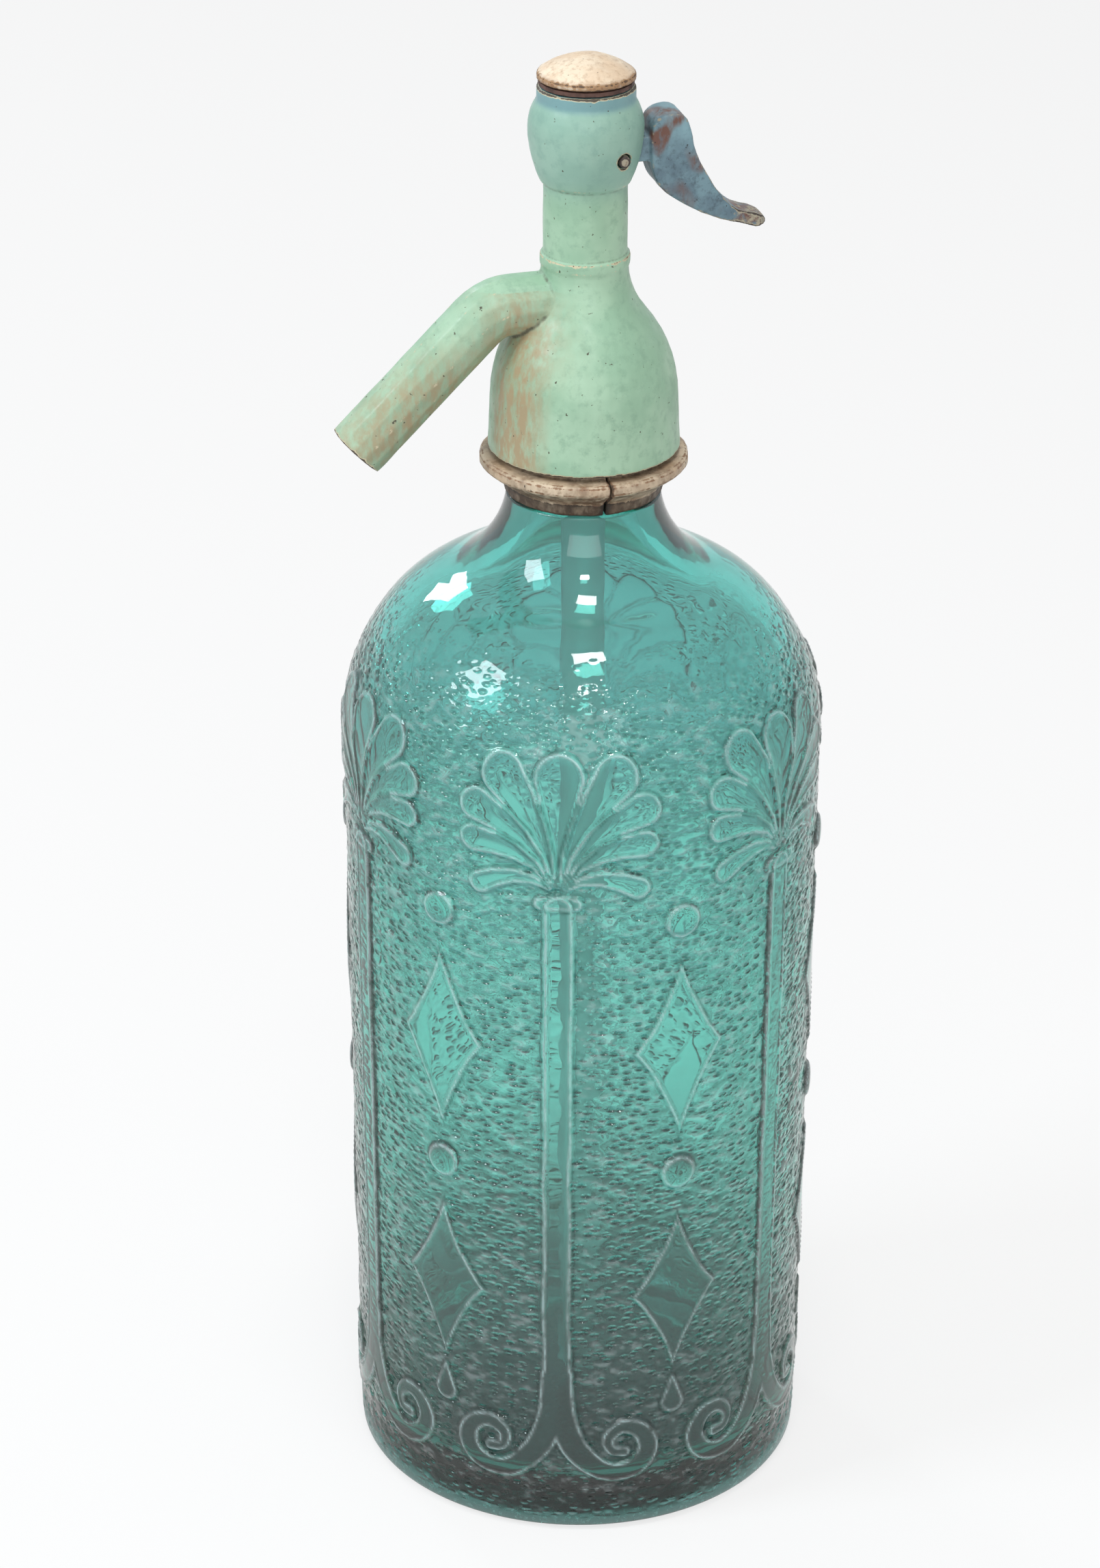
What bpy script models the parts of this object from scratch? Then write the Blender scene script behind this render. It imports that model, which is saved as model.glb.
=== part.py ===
# Soda siphon: a glass bottle, a split collar and a cast head with a spring valve worked by a thumb lever.
# Metres, +Z up. The origin is the middle of the bottle's foot, the spout points to -X and the lever to +X.

import math

import bmesh
import bpy
from mathutils import Matrix

# Clearances and construction
GAP = 0.0003  # between pieces that touch, slide or are screwed together
OVERRUN = 0.003  # how far a cutter runs past what it cuts
WELD = 0.000001  # points this near each other are one point
ROUND_STEPS = 48  # segments round the bottle and the head
SMALL_STEPS = 20  # segments round the small turned pieces

# Bottle body
FOOT_RADIUS = 0.0487
SHOULDER_RADIUS = 0.0503
SIDE_HEIGHT = 0.172  # from the foot to where the shoulder starts
HEEL_CURVE = 0.004
SHOULDER_CURVE = 0.037
GLASS_WALL = 0.006
STANDING_RING = 0.008
PUNT_SLOPE = 0.0025
PUNT_DEPTH = 0.0035
FLOOR_THICKNESS = 0.009
INNER_HEEL_CURVE = 0.008

# Bottle neck and mouth
NECK_RADIUS = 0.0156
NECK_CURVE = 0.022
NECK_CUT = 0.0028  # the neck's curve stops this far under its upright end, at the collar
GRIP_RADIUS = 0.0131
GRIP_LENGTH = 0.0127
BEAD_RADIUS = 0.0156
BEAD_HEIGHT = 0.0052
BEAD_CHAMFER = 0.0007
LIP_RADIUS = 0.0139
LIP_HEIGHT = 0.0011

# Relief pressed into the bottle's side: palms and columns stand proud of the ground that is sunk between them
RELIEF_HEIGHT = 0.0006
RELIEF_FOOT = 0.005  # height at which the sunk ground starts
RELIEF_TOP_SHARE = 0.44  # how far along the shoulder's curve it ends
PALM_COUNT = 6
PALM_ANGLE = math.radians(9.3)  # from the lever's side to the first palm
PALM_REACH = 0.0208  # from a palm's middle to the tip of its widest leaf
PALM_BASE = 0.1517
PALM_LENGTH = 0.0342
TRUNK_WIDTH = 0.0062
TRUNK_FOOT = 0.034
SCROLL_REACH = 0.0203
SCROLL_START = 0.04
DISC_RADIUS = 0.0029
UPPER_DISC_HEIGHT = 0.148
LOWER_DISC_HEIGHT = 0.088
BUD_RADIUS = 0.002
BUD_HEIGHT = 0.0304
UPPER_LOZENGE_HEIGHT = 0.1175
UPPER_LOZENGE_WIDTH = 0.0196
UPPER_LOZENGE_LENGTH = 0.0412
LOWER_LOZENGE_HEIGHT = 0.0586
LOWER_LOZENGE_WIDTH = 0.0186
LOWER_LOZENGE_LENGTH = 0.0364
LOZENGE_WAIST_SHARE = 0.447  # its sides are drawn in to this share, half way along
DISC_STEPS = 12

# Right half of a palm's outline from its top leaf down to its base.
# First value: share of its reach. Second: share of its length above the base.
PALM_SHARES = [
    (0.0, 1.0),
    (0.19, 0.95),
    (0.255, 0.84),
    (0.30, 0.775),
    (0.40, 0.955),
    (0.60, 0.995),
    (0.77, 0.91),
    (0.75, 0.77),
    (0.97, 0.705),
    (1.0, 0.61),
    (0.845, 0.53),
    (0.96, 0.475),
    (0.98, 0.395),
    (0.865, 0.335),
    (0.68, 0.29),
    (0.75, 0.21),
    (0.895, 0.165),
    (0.845, 0.08),
    (0.73, 0.065),
    (0.46, 0.14),
    (0.25, 0.10),
    (0.25, 0.0),
]

# Middle line of the scroll at a trunk's foot, from the trunk out and round to its eye.
# First value: share of its reach. Second: share of its start's height. Third: share of the trunk's width.
SCROLL_SHARES = [
    (0.025, 1.0, 0.97),
    (0.06, 0.75, 1.0),
    (0.2, 0.55, 1.0),
    (0.44, 0.41, 0.84),
    (0.68, 0.375, 0.74),
    (0.9, 0.42, 0.77),
    (1.0, 0.525, 0.77),
    (0.905, 0.63, 0.68),
    (0.72, 0.66, 0.58),
    (0.57, 0.6, 0.48),
    (0.6, 0.52, 0.42),
    (0.735, 0.505, 0.45),
]

# Collar, in two halves
COLLAR_FOOT_RADIUS = 0.0161
COLLAR_WAIST_RADIUS = 0.0168
COLLAR_WAIST_HEIGHT = 0.003
FLANGE_RADIUS = 0.0213
FLANGE_HEIGHT = 0.0058  # from the collar's foot to the underside of its flange
FLANGE_THICKNESS = 0.0028
FLANGE_EDGE = 0.0006
THREAD_RADIUS = 0.0176
THREAD_LENGTH = 0.0093

# Head casting, outside
SKIRT_LIFT = 0.001  # open joint between the flange and the skirt
SKIRT_RADIUS = 0.0196
BELL_RADIUS = 0.0191
BELL_HEIGHT = 0.0111  # from the skirt's rim to where the bell's curve starts
BELL_CURVE = 0.0265
THROAT_CURVE = 0.016
THROAT_RADIUS = 0.0088
RING_RADIUS = 0.0091
RING_HEIGHT = 0.0022
HEAD_NECK_RADIUS = 0.0085
HEAD_NECK_LENGTH = 0.0149
BULB_FOOT_RADIUS = 0.0091
BULB_RADIUS = 0.0116
BULB_RISE = 0.0113  # from the bulb's foot to its widest place
BULB_SHOULDER = 0.0055
BULB_TOP_RADIUS = 0.0099
BULB_TOP_HEIGHT = 0.0027

# Head casting, inside
FITTING_RADIUS = 0.0086
CHAMBER_RADIUS = 0.0055
CHAMBER_HEIGHT = 0.017
NECK_BORE_RADIUS = 0.0046
SPRING_ROOM_RADIUS = 0.007
SPRING_ROOM_RISE = 0.0008  # from the bulb's foot to the floor of the spring room

# Spout, cast in one with the head
SPOUT_RADIUS = 0.0063
SPOUT_BORE = 0.00275
SPOUT_DROP = 0.0077  # from the top of the bell's throat to the middle of the spout
SPOUT_REACH = 0.0192  # from the bottle's axis to the spout's bend
SPOUT_BEND = 0.010
SPOUT_LENGTH = 0.0397  # from the bend to the mouth of the spout
SPOUT_ANGLE = math.radians(45)
SPOUT_ROOT = 0.002  # from the valve chamber's wall to where the spout's form starts
BEND_STEPS = 5

# Cap
CAP_RADIUS = 0.00987
CAP_RIM = 0.0015
CAP_DOME = 0.0032
CAP_EDGE = 0.0004
CAP_WALL = 0.0028  # under the crown
CAP_SPIGOT_LENGTH = 0.0045
CAP_RECESS_RADIUS = 0.0046
CAP_WASHER_THICKNESS = 0.0008
CAP_WASHER_INSET = 0.0004  # from the head's top edge

# Bottle fitting: gasket, gland nut, ferrule, sleeve and dip tube
GASKET_THICKNESS = 0.0019
GASKET_INNER_RADIUS = 0.010
GASKET_RADIUS = 0.015
GLAND_HEIGHT = 0.0018
GLAND_NOTCH = 0.0022
GLAND_NOTCH_DEPTH = 0.0008
FERRULE_FLANGE = 0.0022
FERRULE_RADIUS = 0.0068
FERRULE_LENGTH = 0.0109
TUBE_RADIUS = 0.0045
TUBE_WALL = 0.0019
TUBE_LIFT = 0.005  # from the bottle's floor to the end of the tube
SLEEVE_WALL = 0.0009
SEAT_GASKET_THICKNESS = 0.001
SEAT_GASKET_BORE = 0.0032
SEAT_DISC = 0.002
SEAT_LIP_RADIUS = 0.0034
SEAT_LIP_HEIGHT = 0.0048
WATER_BORE = 0.0022

# Valve on the spindle
VALVE_RUBBER_RADIUS = 0.004
VALVE_RUBBER_THICKNESS = 0.0016
HOLDER_RADIUS = 0.0042
HOLDER_FLANGE = 0.0026
HOLDER_STEM_RADIUS = 0.0029
HOLDER_STEM = 0.0024
SCREW_RADIUS = 0.001
SCREW_LENGTH = 0.0038
SCREW_HEAD_RADIUS = 0.0018
SCREW_HEAD_HEIGHT = 0.001
SCREW_SLOT_WIDTH = 0.0005
SCREW_SLOT_DEPTH = 0.0004
ROD_RADIUS = 0.0017
ROD_TIP = 0.0052  # from the lifting collar's top to the rod's end
ROD_CHAMFER = 0.0004

# Packing on the spindle
PACKING_LIFT = 0.0055  # from the roof of the valve chamber to the packing nut
PACKING_NUT_HEIGHT = 0.0022
PACKING_NUT_RADIUS = 0.0033  # over its corners
PACKING_WASHER_THICKNESS = 0.0008
LEATHER_WEB = 0.001
LEATHER_WALL = 0.0008
LEATHER_SKIRT = 0.0012
ROD_SHOULDER = 0.0012
ROD_SHOULDER_RADIUS = 0.0034
LIFT_COLLAR = 0.0016
LIFT_COLLAR_RADIUS = 0.0042

# Spring
SPRING_RADIUS = 0.0032  # to the middle of the wire
SPRING_WIRE = 0.0005
SPRING_TURNS = 5
SPRING_POINTS_A_TURN = 10

# Lever and its pin
PIVOT_REACH = 0.0052
PIVOT_RISE = 0.0063  # from the bulb's foot
PIN_RADIUS = 0.0012
PIN_PROUD = 0.0004  # at each end, from the bulb's side
PIN_CROWN = 0.0003
HUB_RADIUS = 0.0024
NOSE_RADIUS = 0.0015
NOSE_RISE = 0.0014
SHANK_RADIUS = 0.0027
SHANK_ROOT = 0.0024  # how far the shank runs into the blade
SHANK_WIDTH = 0.0068
FORK_CLEARANCE = 0.0004  # each side of the rod
FORK_DEPTH = 0.0025  # past the spindle's axis
LEVER_REACH = 0.0316  # from the pin to the thumb tip
LEVER_DROP = 0.018
LEVER_RISE = 0.0072
LEVER_WIDTH = 0.0086
LEVER_TIP_WIDTH = 0.0062
LEVER_EDGE = 0.0006
LEVER_TRAVEL = math.radians(18)
BLADE_CLEARANCE = 0.0007  # between the bulb and the blade's inner edge
SLOT_CLEARANCE = 0.0004
SLOT_HEADROOM = 0.0006

# Outline of the lever's blade from its inner edge round the thumb end and back over the top.
# First value: share of the way from the inner edge to the tip. Second: share of the drop below the pin,
# or of the rise above it.
BLADE_LOWER_SHARES = (
    (0.0, 0.12),
    (0.01, 0.24),
    (0.07, 0.43),
    (0.245, 0.63),
    (0.535, 0.84),
    (0.77, 0.945),
    (0.98, 1.0),
)
BLADE_OUTER_SHARES = (
    (1.0, 0.945),
    (0.97, 0.885),
    (0.755, 0.78),
    (0.592, 0.57),
    (0.498, 0.37),
    (0.387, 0.08),
)
BLADE_TOP_SHARES = (
    (0.33, 0.55),
    (0.277, 0.90),
    (0.135, 0.99),
    (0.026, 0.78),
    (0.0, 0.45),
)
# Half plan of the blade. First value: share of the way from the inner edge to the tip.
# Second: how far the width has gone from the full width to the tip's.
BLADE_PLAN_SHARES = ((-0.05, 0.0), (0.355, 0.0), (0.61, 0.45), (0.845, 0.85), (0.95, 1.0))
BLADE_TIP_SHARE = 0.55  # of the tip's half width, at its very end
BLADE_STEPS = 3

# Heights of the bottle
shoulder_centre = (SHOULDER_RADIUS - SHOULDER_CURVE, SIDE_HEIGHT)
neck_curve_across = NECK_RADIUS + NECK_CURVE - shoulder_centre[0]
neck_curve_along = math.sqrt((SHOULDER_CURVE + NECK_CURVE) ** 2 - neck_curve_across**2)
neck_centre = (NECK_RADIUS + NECK_CURVE, SIDE_HEIGHT + neck_curve_along)
shoulder_end_angle = math.atan2(neck_curve_along, neck_curve_across)
neck_step_z = neck_centre[1] - NECK_CUT
bead_z = neck_step_z + GRIP_LENGTH
bead_top_z = bead_z + BEAD_HEIGHT
mouth_z = bead_top_z + LIP_HEIGHT
mouth_radius = NECK_RADIUS - GLASS_WALL
palm_rise = PALM_BASE + PALM_LENGTH - SIDE_HEIGHT
palm_top_drop = SHOULDER_CURVE - math.sqrt(SHOULDER_CURVE**2 - palm_rise**2)
palm_side_drop = SHOULDER_RADIUS - math.sqrt(SHOULDER_RADIUS**2 - PALM_REACH**2)
relief_block_depth = palm_top_drop + palm_side_drop + SHOULDER_RADIUS - FOOT_RADIUS + 3 * OVERRUN

# Heights of the collar and the head
collar_z = neck_step_z + GAP
flange_z = collar_z + FLANGE_HEIGHT
flange_top_z = flange_z + FLANGE_THICKNESS
skirt_z = flange_top_z + SKIRT_LIFT
ceiling_z = mouth_z + GAP + GASKET_THICKNESS + GAP
bell_z = skirt_z + BELL_HEIGHT
bell_centre = (BELL_RADIUS - BELL_CURVE, bell_z)
throat_across = THROAT_RADIUS + THROAT_CURVE - bell_centre[0]
throat_along = math.sqrt((BELL_CURVE + THROAT_CURVE) ** 2 - throat_across**2)
throat_centre = (THROAT_RADIUS + THROAT_CURVE, bell_z + throat_along)
bell_end_angle = math.atan2(throat_along, throat_across)
ring_z = throat_centre[1]
head_neck_z = ring_z + RING_HEIGHT
bulb_z = head_neck_z + HEAD_NECK_LENGTH
bulb_widest_z = bulb_z + BULB_RISE
bulb_shoulder_z = bulb_widest_z + BULB_SHOULDER
head_top_z = bulb_shoulder_z + BULB_TOP_HEIGHT

# Heights of the fitting in the head's foot
gland_z = ceiling_z + GAP
ferrule_z = gland_z + GLAND_HEIGHT + GAP
seat_gasket_z = ferrule_z + FERRULE_FLANGE + GAP
seat_z = seat_gasket_z + SEAT_GASKET_THICKNESS + GAP
fitting_top_z = seat_z + SEAT_DISC + GAP
chamber_top_z = fitting_top_z + CHAMBER_HEIGHT
spring_room_z = bulb_z + SPRING_ROOM_RISE
fitting_piece_radius = FITTING_RADIUS - GAP
cavity_radius = THREAD_RADIUS + GAP
sleeve_inner_radius = TUBE_RADIUS + GAP
sleeve_radius = sleeve_inner_radius + SLEEVE_WALL
socket_radius = sleeve_radius + GAP
tube_top_z = ferrule_z - GAP
tube_z = FLOOR_THICKNESS + TUBE_LIFT

# Heights of the spindle and what it carries
valve_rubber_z = seat_z + SEAT_DISC + SEAT_LIP_HEIGHT + GAP
holder_z = valve_rubber_z + VALVE_RUBBER_THICKNESS + GAP
screw_z = valve_rubber_z - GAP - SCREW_HEAD_HEIGHT
rod_z = holder_z + HOLDER_FLANGE + GAP
packing_nut_z = chamber_top_z + PACKING_LIFT
packing_washer_z = packing_nut_z + PACKING_NUT_HEIGHT + GAP
leather_web_z = packing_washer_z + PACKING_WASHER_THICKNESS + GAP
rod_shoulder_z = leather_web_z + LEATHER_WEB + GAP
pivot_z = bulb_z + PIVOT_RISE
lift_collar_z = pivot_z + NOSE_RISE + NOSE_RADIUS + GAP
lift_collar_top_z = lift_collar_z + LIFT_COLLAR
rod_top_z = lift_collar_top_z + ROD_TIP
rod_hole_radius = ROD_RADIUS + GAP
pin_hole_radius = PIN_RADIUS + GAP
leather_radius = NECK_BORE_RADIUS - GAP
blade_start = BULB_RADIUS + BLADE_CLEARANCE - PIVOT_REACH  # from the pin

# Heights of the cap and the spring
cap_washer_z = head_top_z + GAP
cap_z = cap_washer_z + CAP_WASHER_THICKNESS + GAP
cap_top_z = cap_z + CAP_RIM + CAP_DOME
cap_recess_z = cap_top_z - CAP_WALL
cap_spigot_radius = SPRING_ROOM_RADIUS - GAP
spring_z = lift_collar_top_z + GAP
spring_top_z = cap_recess_z - GAP

# Spout
spout_z = ring_z - SPOUT_DROP


def clear_scene():
    for thing in list(bpy.data.objects):
        bpy.data.objects.remove(thing, do_unlink=True)


def new_collection(name):
    collection = bpy.data.collections.new(name)
    bpy.context.scene.collection.children.link(collection)
    return collection


clear_scene()
siphon = new_collection("soda_siphon")
cutters = new_collection("cutters")


def material(name, colour, roughness, metallic=0.0, transmission=0.0):
    made = bpy.data.materials.new(name)
    made.use_nodes = True
    shader = made.node_tree.nodes["Principled BSDF"]
    shader.inputs["Base Color"].default_value = (*colour, 1.0)
    shader.inputs["Roughness"].default_value = roughness
    shader.inputs["Metallic"].default_value = metallic
    shader.inputs["Transmission Weight"].default_value = transmission
    made.diffuse_color = (*colour, 1.0)
    return made


# Points on an arc about a centre, from one angle to the other, both ends included
def arc(centre, radius, start, end, steps):
    angles = [start + (end - start) * step / steps for step in range(steps + 1)]
    return [(centre[0] + radius * math.cos(a), centre[1] + radius * math.sin(a)) for a in angles]


# An arc from a point to one straight across from its centre: radius found from the bulge it must have
def bulge(across, along):
    return (across**2 + along**2) / (2 * across)


def add_mesh_object(name, mesh, finish, collection):
    thing = bpy.data.objects.new(name, mesh)
    if finish:
        mesh.materials.append(finish)
    collection.objects.link(thing)
    return thing


# A piece turned about +Z. Its profile runs down the outer side. A ring's profile closes on itself.
def turned(name, profile, z, finish, ring=False, steps=SMALL_STEPS, collection=siphon):
    points = [(radius, 0, height - z) for radius, height in profile]
    edges = [(i, i + 1) for i in range(len(points) - 1)]
    if ring:
        edges.append((len(points) - 1, 0))
    mesh = bpy.data.meshes.new(name)
    mesh.from_pydata(points, edges, [])
    thing = add_mesh_object(name, mesh, finish, collection)
    thing.location.z = z
    screw = thing.modifiers.new("turn", "SCREW")
    screw.steps = steps
    screw.render_steps = steps
    screw.use_merge_vertices = True
    screw.merge_threshold = WELD
    screw.use_smooth_shade = True
    return thing


def cylinder_profile(radius, low, high):
    return [(0, high), (radius, high), (radius, low), (0, low)]


def ring_profile(inner, outer, low, high):
    return [(inner, high), (outer, high), (outer, low), (inner, low)]


def ring(name, inner, outer, z, thickness, finish):
    return turned(name, ring_profile(inner, outer, z, z + thickness), z, finish, ring=True)


def hide_cutter(cutter):
    cutter.hide_render = True
    cutter.display_type = "WIRE"
    return cutter


def combine(target, tool, operation):
    boolean = target.modifiers.new(tool.name, "BOOLEAN")
    boolean.operation = operation
    boolean.solver = "EXACT"
    boolean.object = tool
    hide_cutter(tool)


def box_tool(name, low, high):
    bpy.ops.mesh.primitive_cube_add(size=1)
    tool = bpy.context.active_object
    tool.name = name
    for vertex in tool.data.vertices:
        for axis in range(3):
            side = high[axis] if vertex.co[axis] > 0 else low[axis]
            vertex.co[axis] = side
    move_to(tool, cutters)
    return tool


def move_to(thing, collection):
    for old in list(thing.users_collection):
        old.objects.unlink(thing)
    collection.objects.link(thing)


# A solid bar along Y at (x, z)
def cross_bar(name, radius, length, x, z, steps=SMALL_STEPS, collection=cutters):
    bpy.ops.mesh.primitive_cylinder_add(vertices=steps, radius=radius, depth=length)
    bar = bpy.context.active_object
    bar.name = name
    bar.rotation_euler.x = math.radians(90)
    bar.location = (x, 0, z)
    move_to(bar, collection)
    return bar


# The evaluated curve as a mesh object whose caps are welded, in the curve's place
def curve_to_mesh(curve_object, finish, collection):
    bpy.context.view_layer.update()
    evaluated = curve_object.evaluated_get(bpy.context.evaluated_depsgraph_get())
    mesh = bpy.data.meshes.new_from_object(evaluated)
    weld_mesh(mesh)
    name = curve_object.name
    place = curve_object.matrix_world.copy()
    bpy.data.objects.remove(curve_object, do_unlink=True)
    mesh.materials.clear()
    thing = add_mesh_object(name, mesh, finish, collection)
    thing.matrix_world = place
    return thing


def weld_mesh(mesh):
    edited = bmesh.new()
    edited.from_mesh(mesh)
    bmesh.ops.remove_doubles(edited, verts=edited.verts, dist=WELD)
    bmesh.ops.recalc_face_normals(edited, faces=edited.faces)
    edited.to_mesh(mesh)
    edited.free()


# A round rod along a route of points
def rod_along(name, route, radius, finish, collection, resolution):
    curve = bpy.data.curves.new(name, "CURVE")
    curve.dimensions = "3D"
    curve.bevel_depth = radius
    curve.bevel_resolution = resolution
    curve.use_fill_caps = True
    spline = curve.splines.new("POLY")
    spline.points.add(len(route) - 1)
    for point, place in zip(spline.points, route):
        point.co = (*place, 1)
    thing = bpy.data.objects.new(name, curve)
    collection.objects.link(thing)
    return curve_to_mesh(thing, finish, collection)


# A flat outline in the XZ plane with thickness along Y. Rounded outlines pass smoothly through their points.
def plate(name, outline, width, edge, smooth, finish, collection):
    curve = bpy.data.curves.new(name, "CURVE")
    curve.dimensions = "2D"
    curve.fill_mode = "BOTH"
    curve.extrude = width / 2 - edge
    curve.bevel_depth = edge
    curve.bevel_resolution = 1
    curve.offset = -edge
    curve.resolution_u = BLADE_STEPS
    spline = curve.splines.new("BEZIER" if smooth else "POLY")
    spline.use_cyclic_u = True
    if smooth:
        spline.bezier_points.add(len(outline) - 1)
        for point, (x, z) in zip(spline.bezier_points, outline):
            point.co = (x, z, 0)
            point.handle_left_type = "AUTO"
            point.handle_right_type = "AUTO"
    else:
        spline.points.add(len(outline) - 1)
        for point, (x, z) in zip(spline.points, outline):
            point.co = (x, z, 0, 1)
    thing = bpy.data.objects.new(name, curve)
    thing.rotation_euler.x = math.radians(90)
    collection.objects.link(thing)
    return curve_to_mesh(thing, finish, collection)


# Outline of a belt round two circles in the XZ plane
def belt_outline(first, first_radius, second, second_radius, steps):
    across = second[0] - first[0]
    along = second[1] - first[1]
    direction = math.atan2(along, across)
    lean = math.acos((first_radius - second_radius) / math.hypot(across, along))
    far = arc(second, second_radius, direction - lean, direction + lean, steps)
    near = arc(first, first_radius, direction + lean, direction + 2 * math.pi - lean, steps)
    return far + near


glass = material("siphon_glass", (0.20, 0.62, 0.60), 0.05, transmission=0.8)
tube_glass = material("tube_glass", (0.75, 0.88, 0.86), 0.05, transmission=0.9)
painted_casting = material("painted_casting", (0.36, 0.56, 0.42), 0.5)
cap_paint = material("cap_paint", (0.72, 0.62, 0.50), 0.6)
collar_metal = material("collar_metal", (0.55, 0.47, 0.38), 0.55)
lever_metal = material("lever_metal", (0.26, 0.31, 0.34), 0.5, metallic=0.4)
plain_tin = material("plain_tin", (0.62, 0.62, 0.60), 0.35, metallic=0.9)
brass = material("brass", (0.70, 0.52, 0.26), 0.35, metallic=1.0)
spring_steel = material("spring_steel", (0.55, 0.56, 0.58), 0.3, metallic=1.0)
red_rubber = material("red_rubber", (0.42, 0.13, 0.09), 0.8)
grey_rubber = material("grey_rubber", (0.16, 0.16, 0.16), 0.8)
leather = material("leather", (0.32, 0.20, 0.11), 0.8)


def bottle_outside():
    upright = math.pi + math.asin(NECK_CUT / NECK_CURVE)
    neck = arc(neck_centre, NECK_CURVE, upright, math.pi + shoulder_end_angle, 6)
    shoulder = arc(shoulder_centre, SHOULDER_CURVE, shoulder_end_angle, 0, 8)[1:]
    heel = arc((FOOT_RADIUS - HEEL_CURVE, HEEL_CURVE), HEEL_CURVE, 0, -math.pi / 2, 3)
    ring_inside = FOOT_RADIUS - HEEL_CURVE - STANDING_RING
    punt = [(ring_inside, 0), (ring_inside - PUNT_SLOPE, PUNT_SLOPE), (0, PUNT_DEPTH)]
    return neck + shoulder + heel + punt


def bottle_inside():
    inner_foot = FOOT_RADIUS - GLASS_WALL
    heel_centre = (inner_foot - INNER_HEEL_CURVE, FLOOR_THICKNESS + INNER_HEEL_CURVE)
    heel = arc(heel_centre, INNER_HEEL_CURVE, -math.pi / 2, 0, 3)
    shoulder = arc(shoulder_centre, SHOULDER_CURVE - GLASS_WALL, 0, shoulder_end_angle, 5)
    start = math.pi + shoulder_end_angle
    neck = arc(neck_centre, NECK_CURVE + GLASS_WALL, start, math.pi, 4)[1:]
    return [(0, FLOOR_THICKNESS)] + heel + shoulder + neck


def bottle_mouth():
    return [
        (mouth_radius, mouth_z),
        (LIP_RADIUS, mouth_z),
        (LIP_RADIUS, bead_top_z),
        (BEAD_RADIUS - BEAD_CHAMFER, bead_top_z),
        (BEAD_RADIUS, bead_top_z - BEAD_CHAMFER),
        (BEAD_RADIUS, bead_z),
        (GRIP_RADIUS, bead_z),
        (GRIP_RADIUS, neck_step_z),
    ]


# Where a distance measured round the bottle lies on a flat outline
def flat(across):
    return SHOULDER_RADIUS * math.sin(across / SHOULDER_RADIUS)


def palm_outline():
    half = [(flat(x * PALM_REACH), PALM_BASE + z * PALM_LENGTH) for x, z in PALM_SHARES]
    half += [(TRUNK_WIDTH / 2, PALM_BASE), (TRUNK_WIDTH / 2, TRUNK_FOOT)]
    return half + [(-x, z) for x, z in reversed(half[1:])]


# The scroll's two edges lie on either side of its middle line. Side -1 is left of the trunk, +1 right.
def scroll_outline(side):
    middle = [(x * SCROLL_REACH, z * SCROLL_START, width * TRUNK_WIDTH / 2) for x, z, width in SCROLL_SHARES]
    outer = []
    inner = []
    for i, (x, z, half) in enumerate(middle):
        before = middle[max(i - 1, 0)]
        after = middle[min(i + 1, len(middle) - 1)]
        along = math.hypot(after[0] - before[0], after[1] - before[1])
        across_x = (after[1] - before[1]) / along * half
        across_z = (before[0] - after[0]) / along * half
        outer.append((flat(x + across_x) * side, z + across_z))
        inner.append((flat(x - across_x) * side, z - across_z))
    return outer + inner[::-1]


def lozenge_outline(height, width, length):
    half_width = width / 2
    half_length = length / 2
    waist = LOZENGE_WAIST_SHARE
    quarter = [(0, 1), (waist, waist), (1, 0), (waist, -waist)]
    right = [(flat(x * half_width), height + z * half_length) for x, z in quarter]
    return right + [(-x, 2 * height - z) for x, z in right]


def disc_outline(height, radius):
    turns = [2 * math.pi * step / DISC_STEPS for step in range(DISC_STEPS)]
    return [(radius * math.cos(a), height + radius * math.sin(a)) for a in turns]


# One block for each copy of a motif, standing through the sunk ground's cutter all round the bottle
def relief_block(name, outline, first_angle):
    tool = plate(name, outline, relief_block_depth, 0, False, None, cutters)
    edited = bmesh.new()
    edited.from_mesh(tool.data)
    edited.transform(tool.matrix_world)
    place = -(SHOULDER_RADIUS + 2 * OVERRUN - relief_block_depth / 2)
    bmesh.ops.translate(edited, vec=(0, place, 0), verts=edited.verts)
    turn = Matrix.Rotation(first_angle + math.pi / 2, 3, "Z")
    bmesh.ops.rotate(edited, cent=(0, 0, 0), matrix=turn, verts=edited.verts)
    whole = edited.verts[:] + edited.edges[:] + edited.faces[:]
    step = 2 * math.pi / PALM_COUNT
    copies = PALM_COUNT - 1
    bmesh.ops.spin(
        edited, geom=whole, cent=(0, 0, 0), axis=(0, 0, 1), angle=step * copies, steps=copies, use_duplicate=True
    )
    edited.to_mesh(tool.data)
    edited.free()
    tool.matrix_world = Matrix.Identity(4)
    return tool


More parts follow.
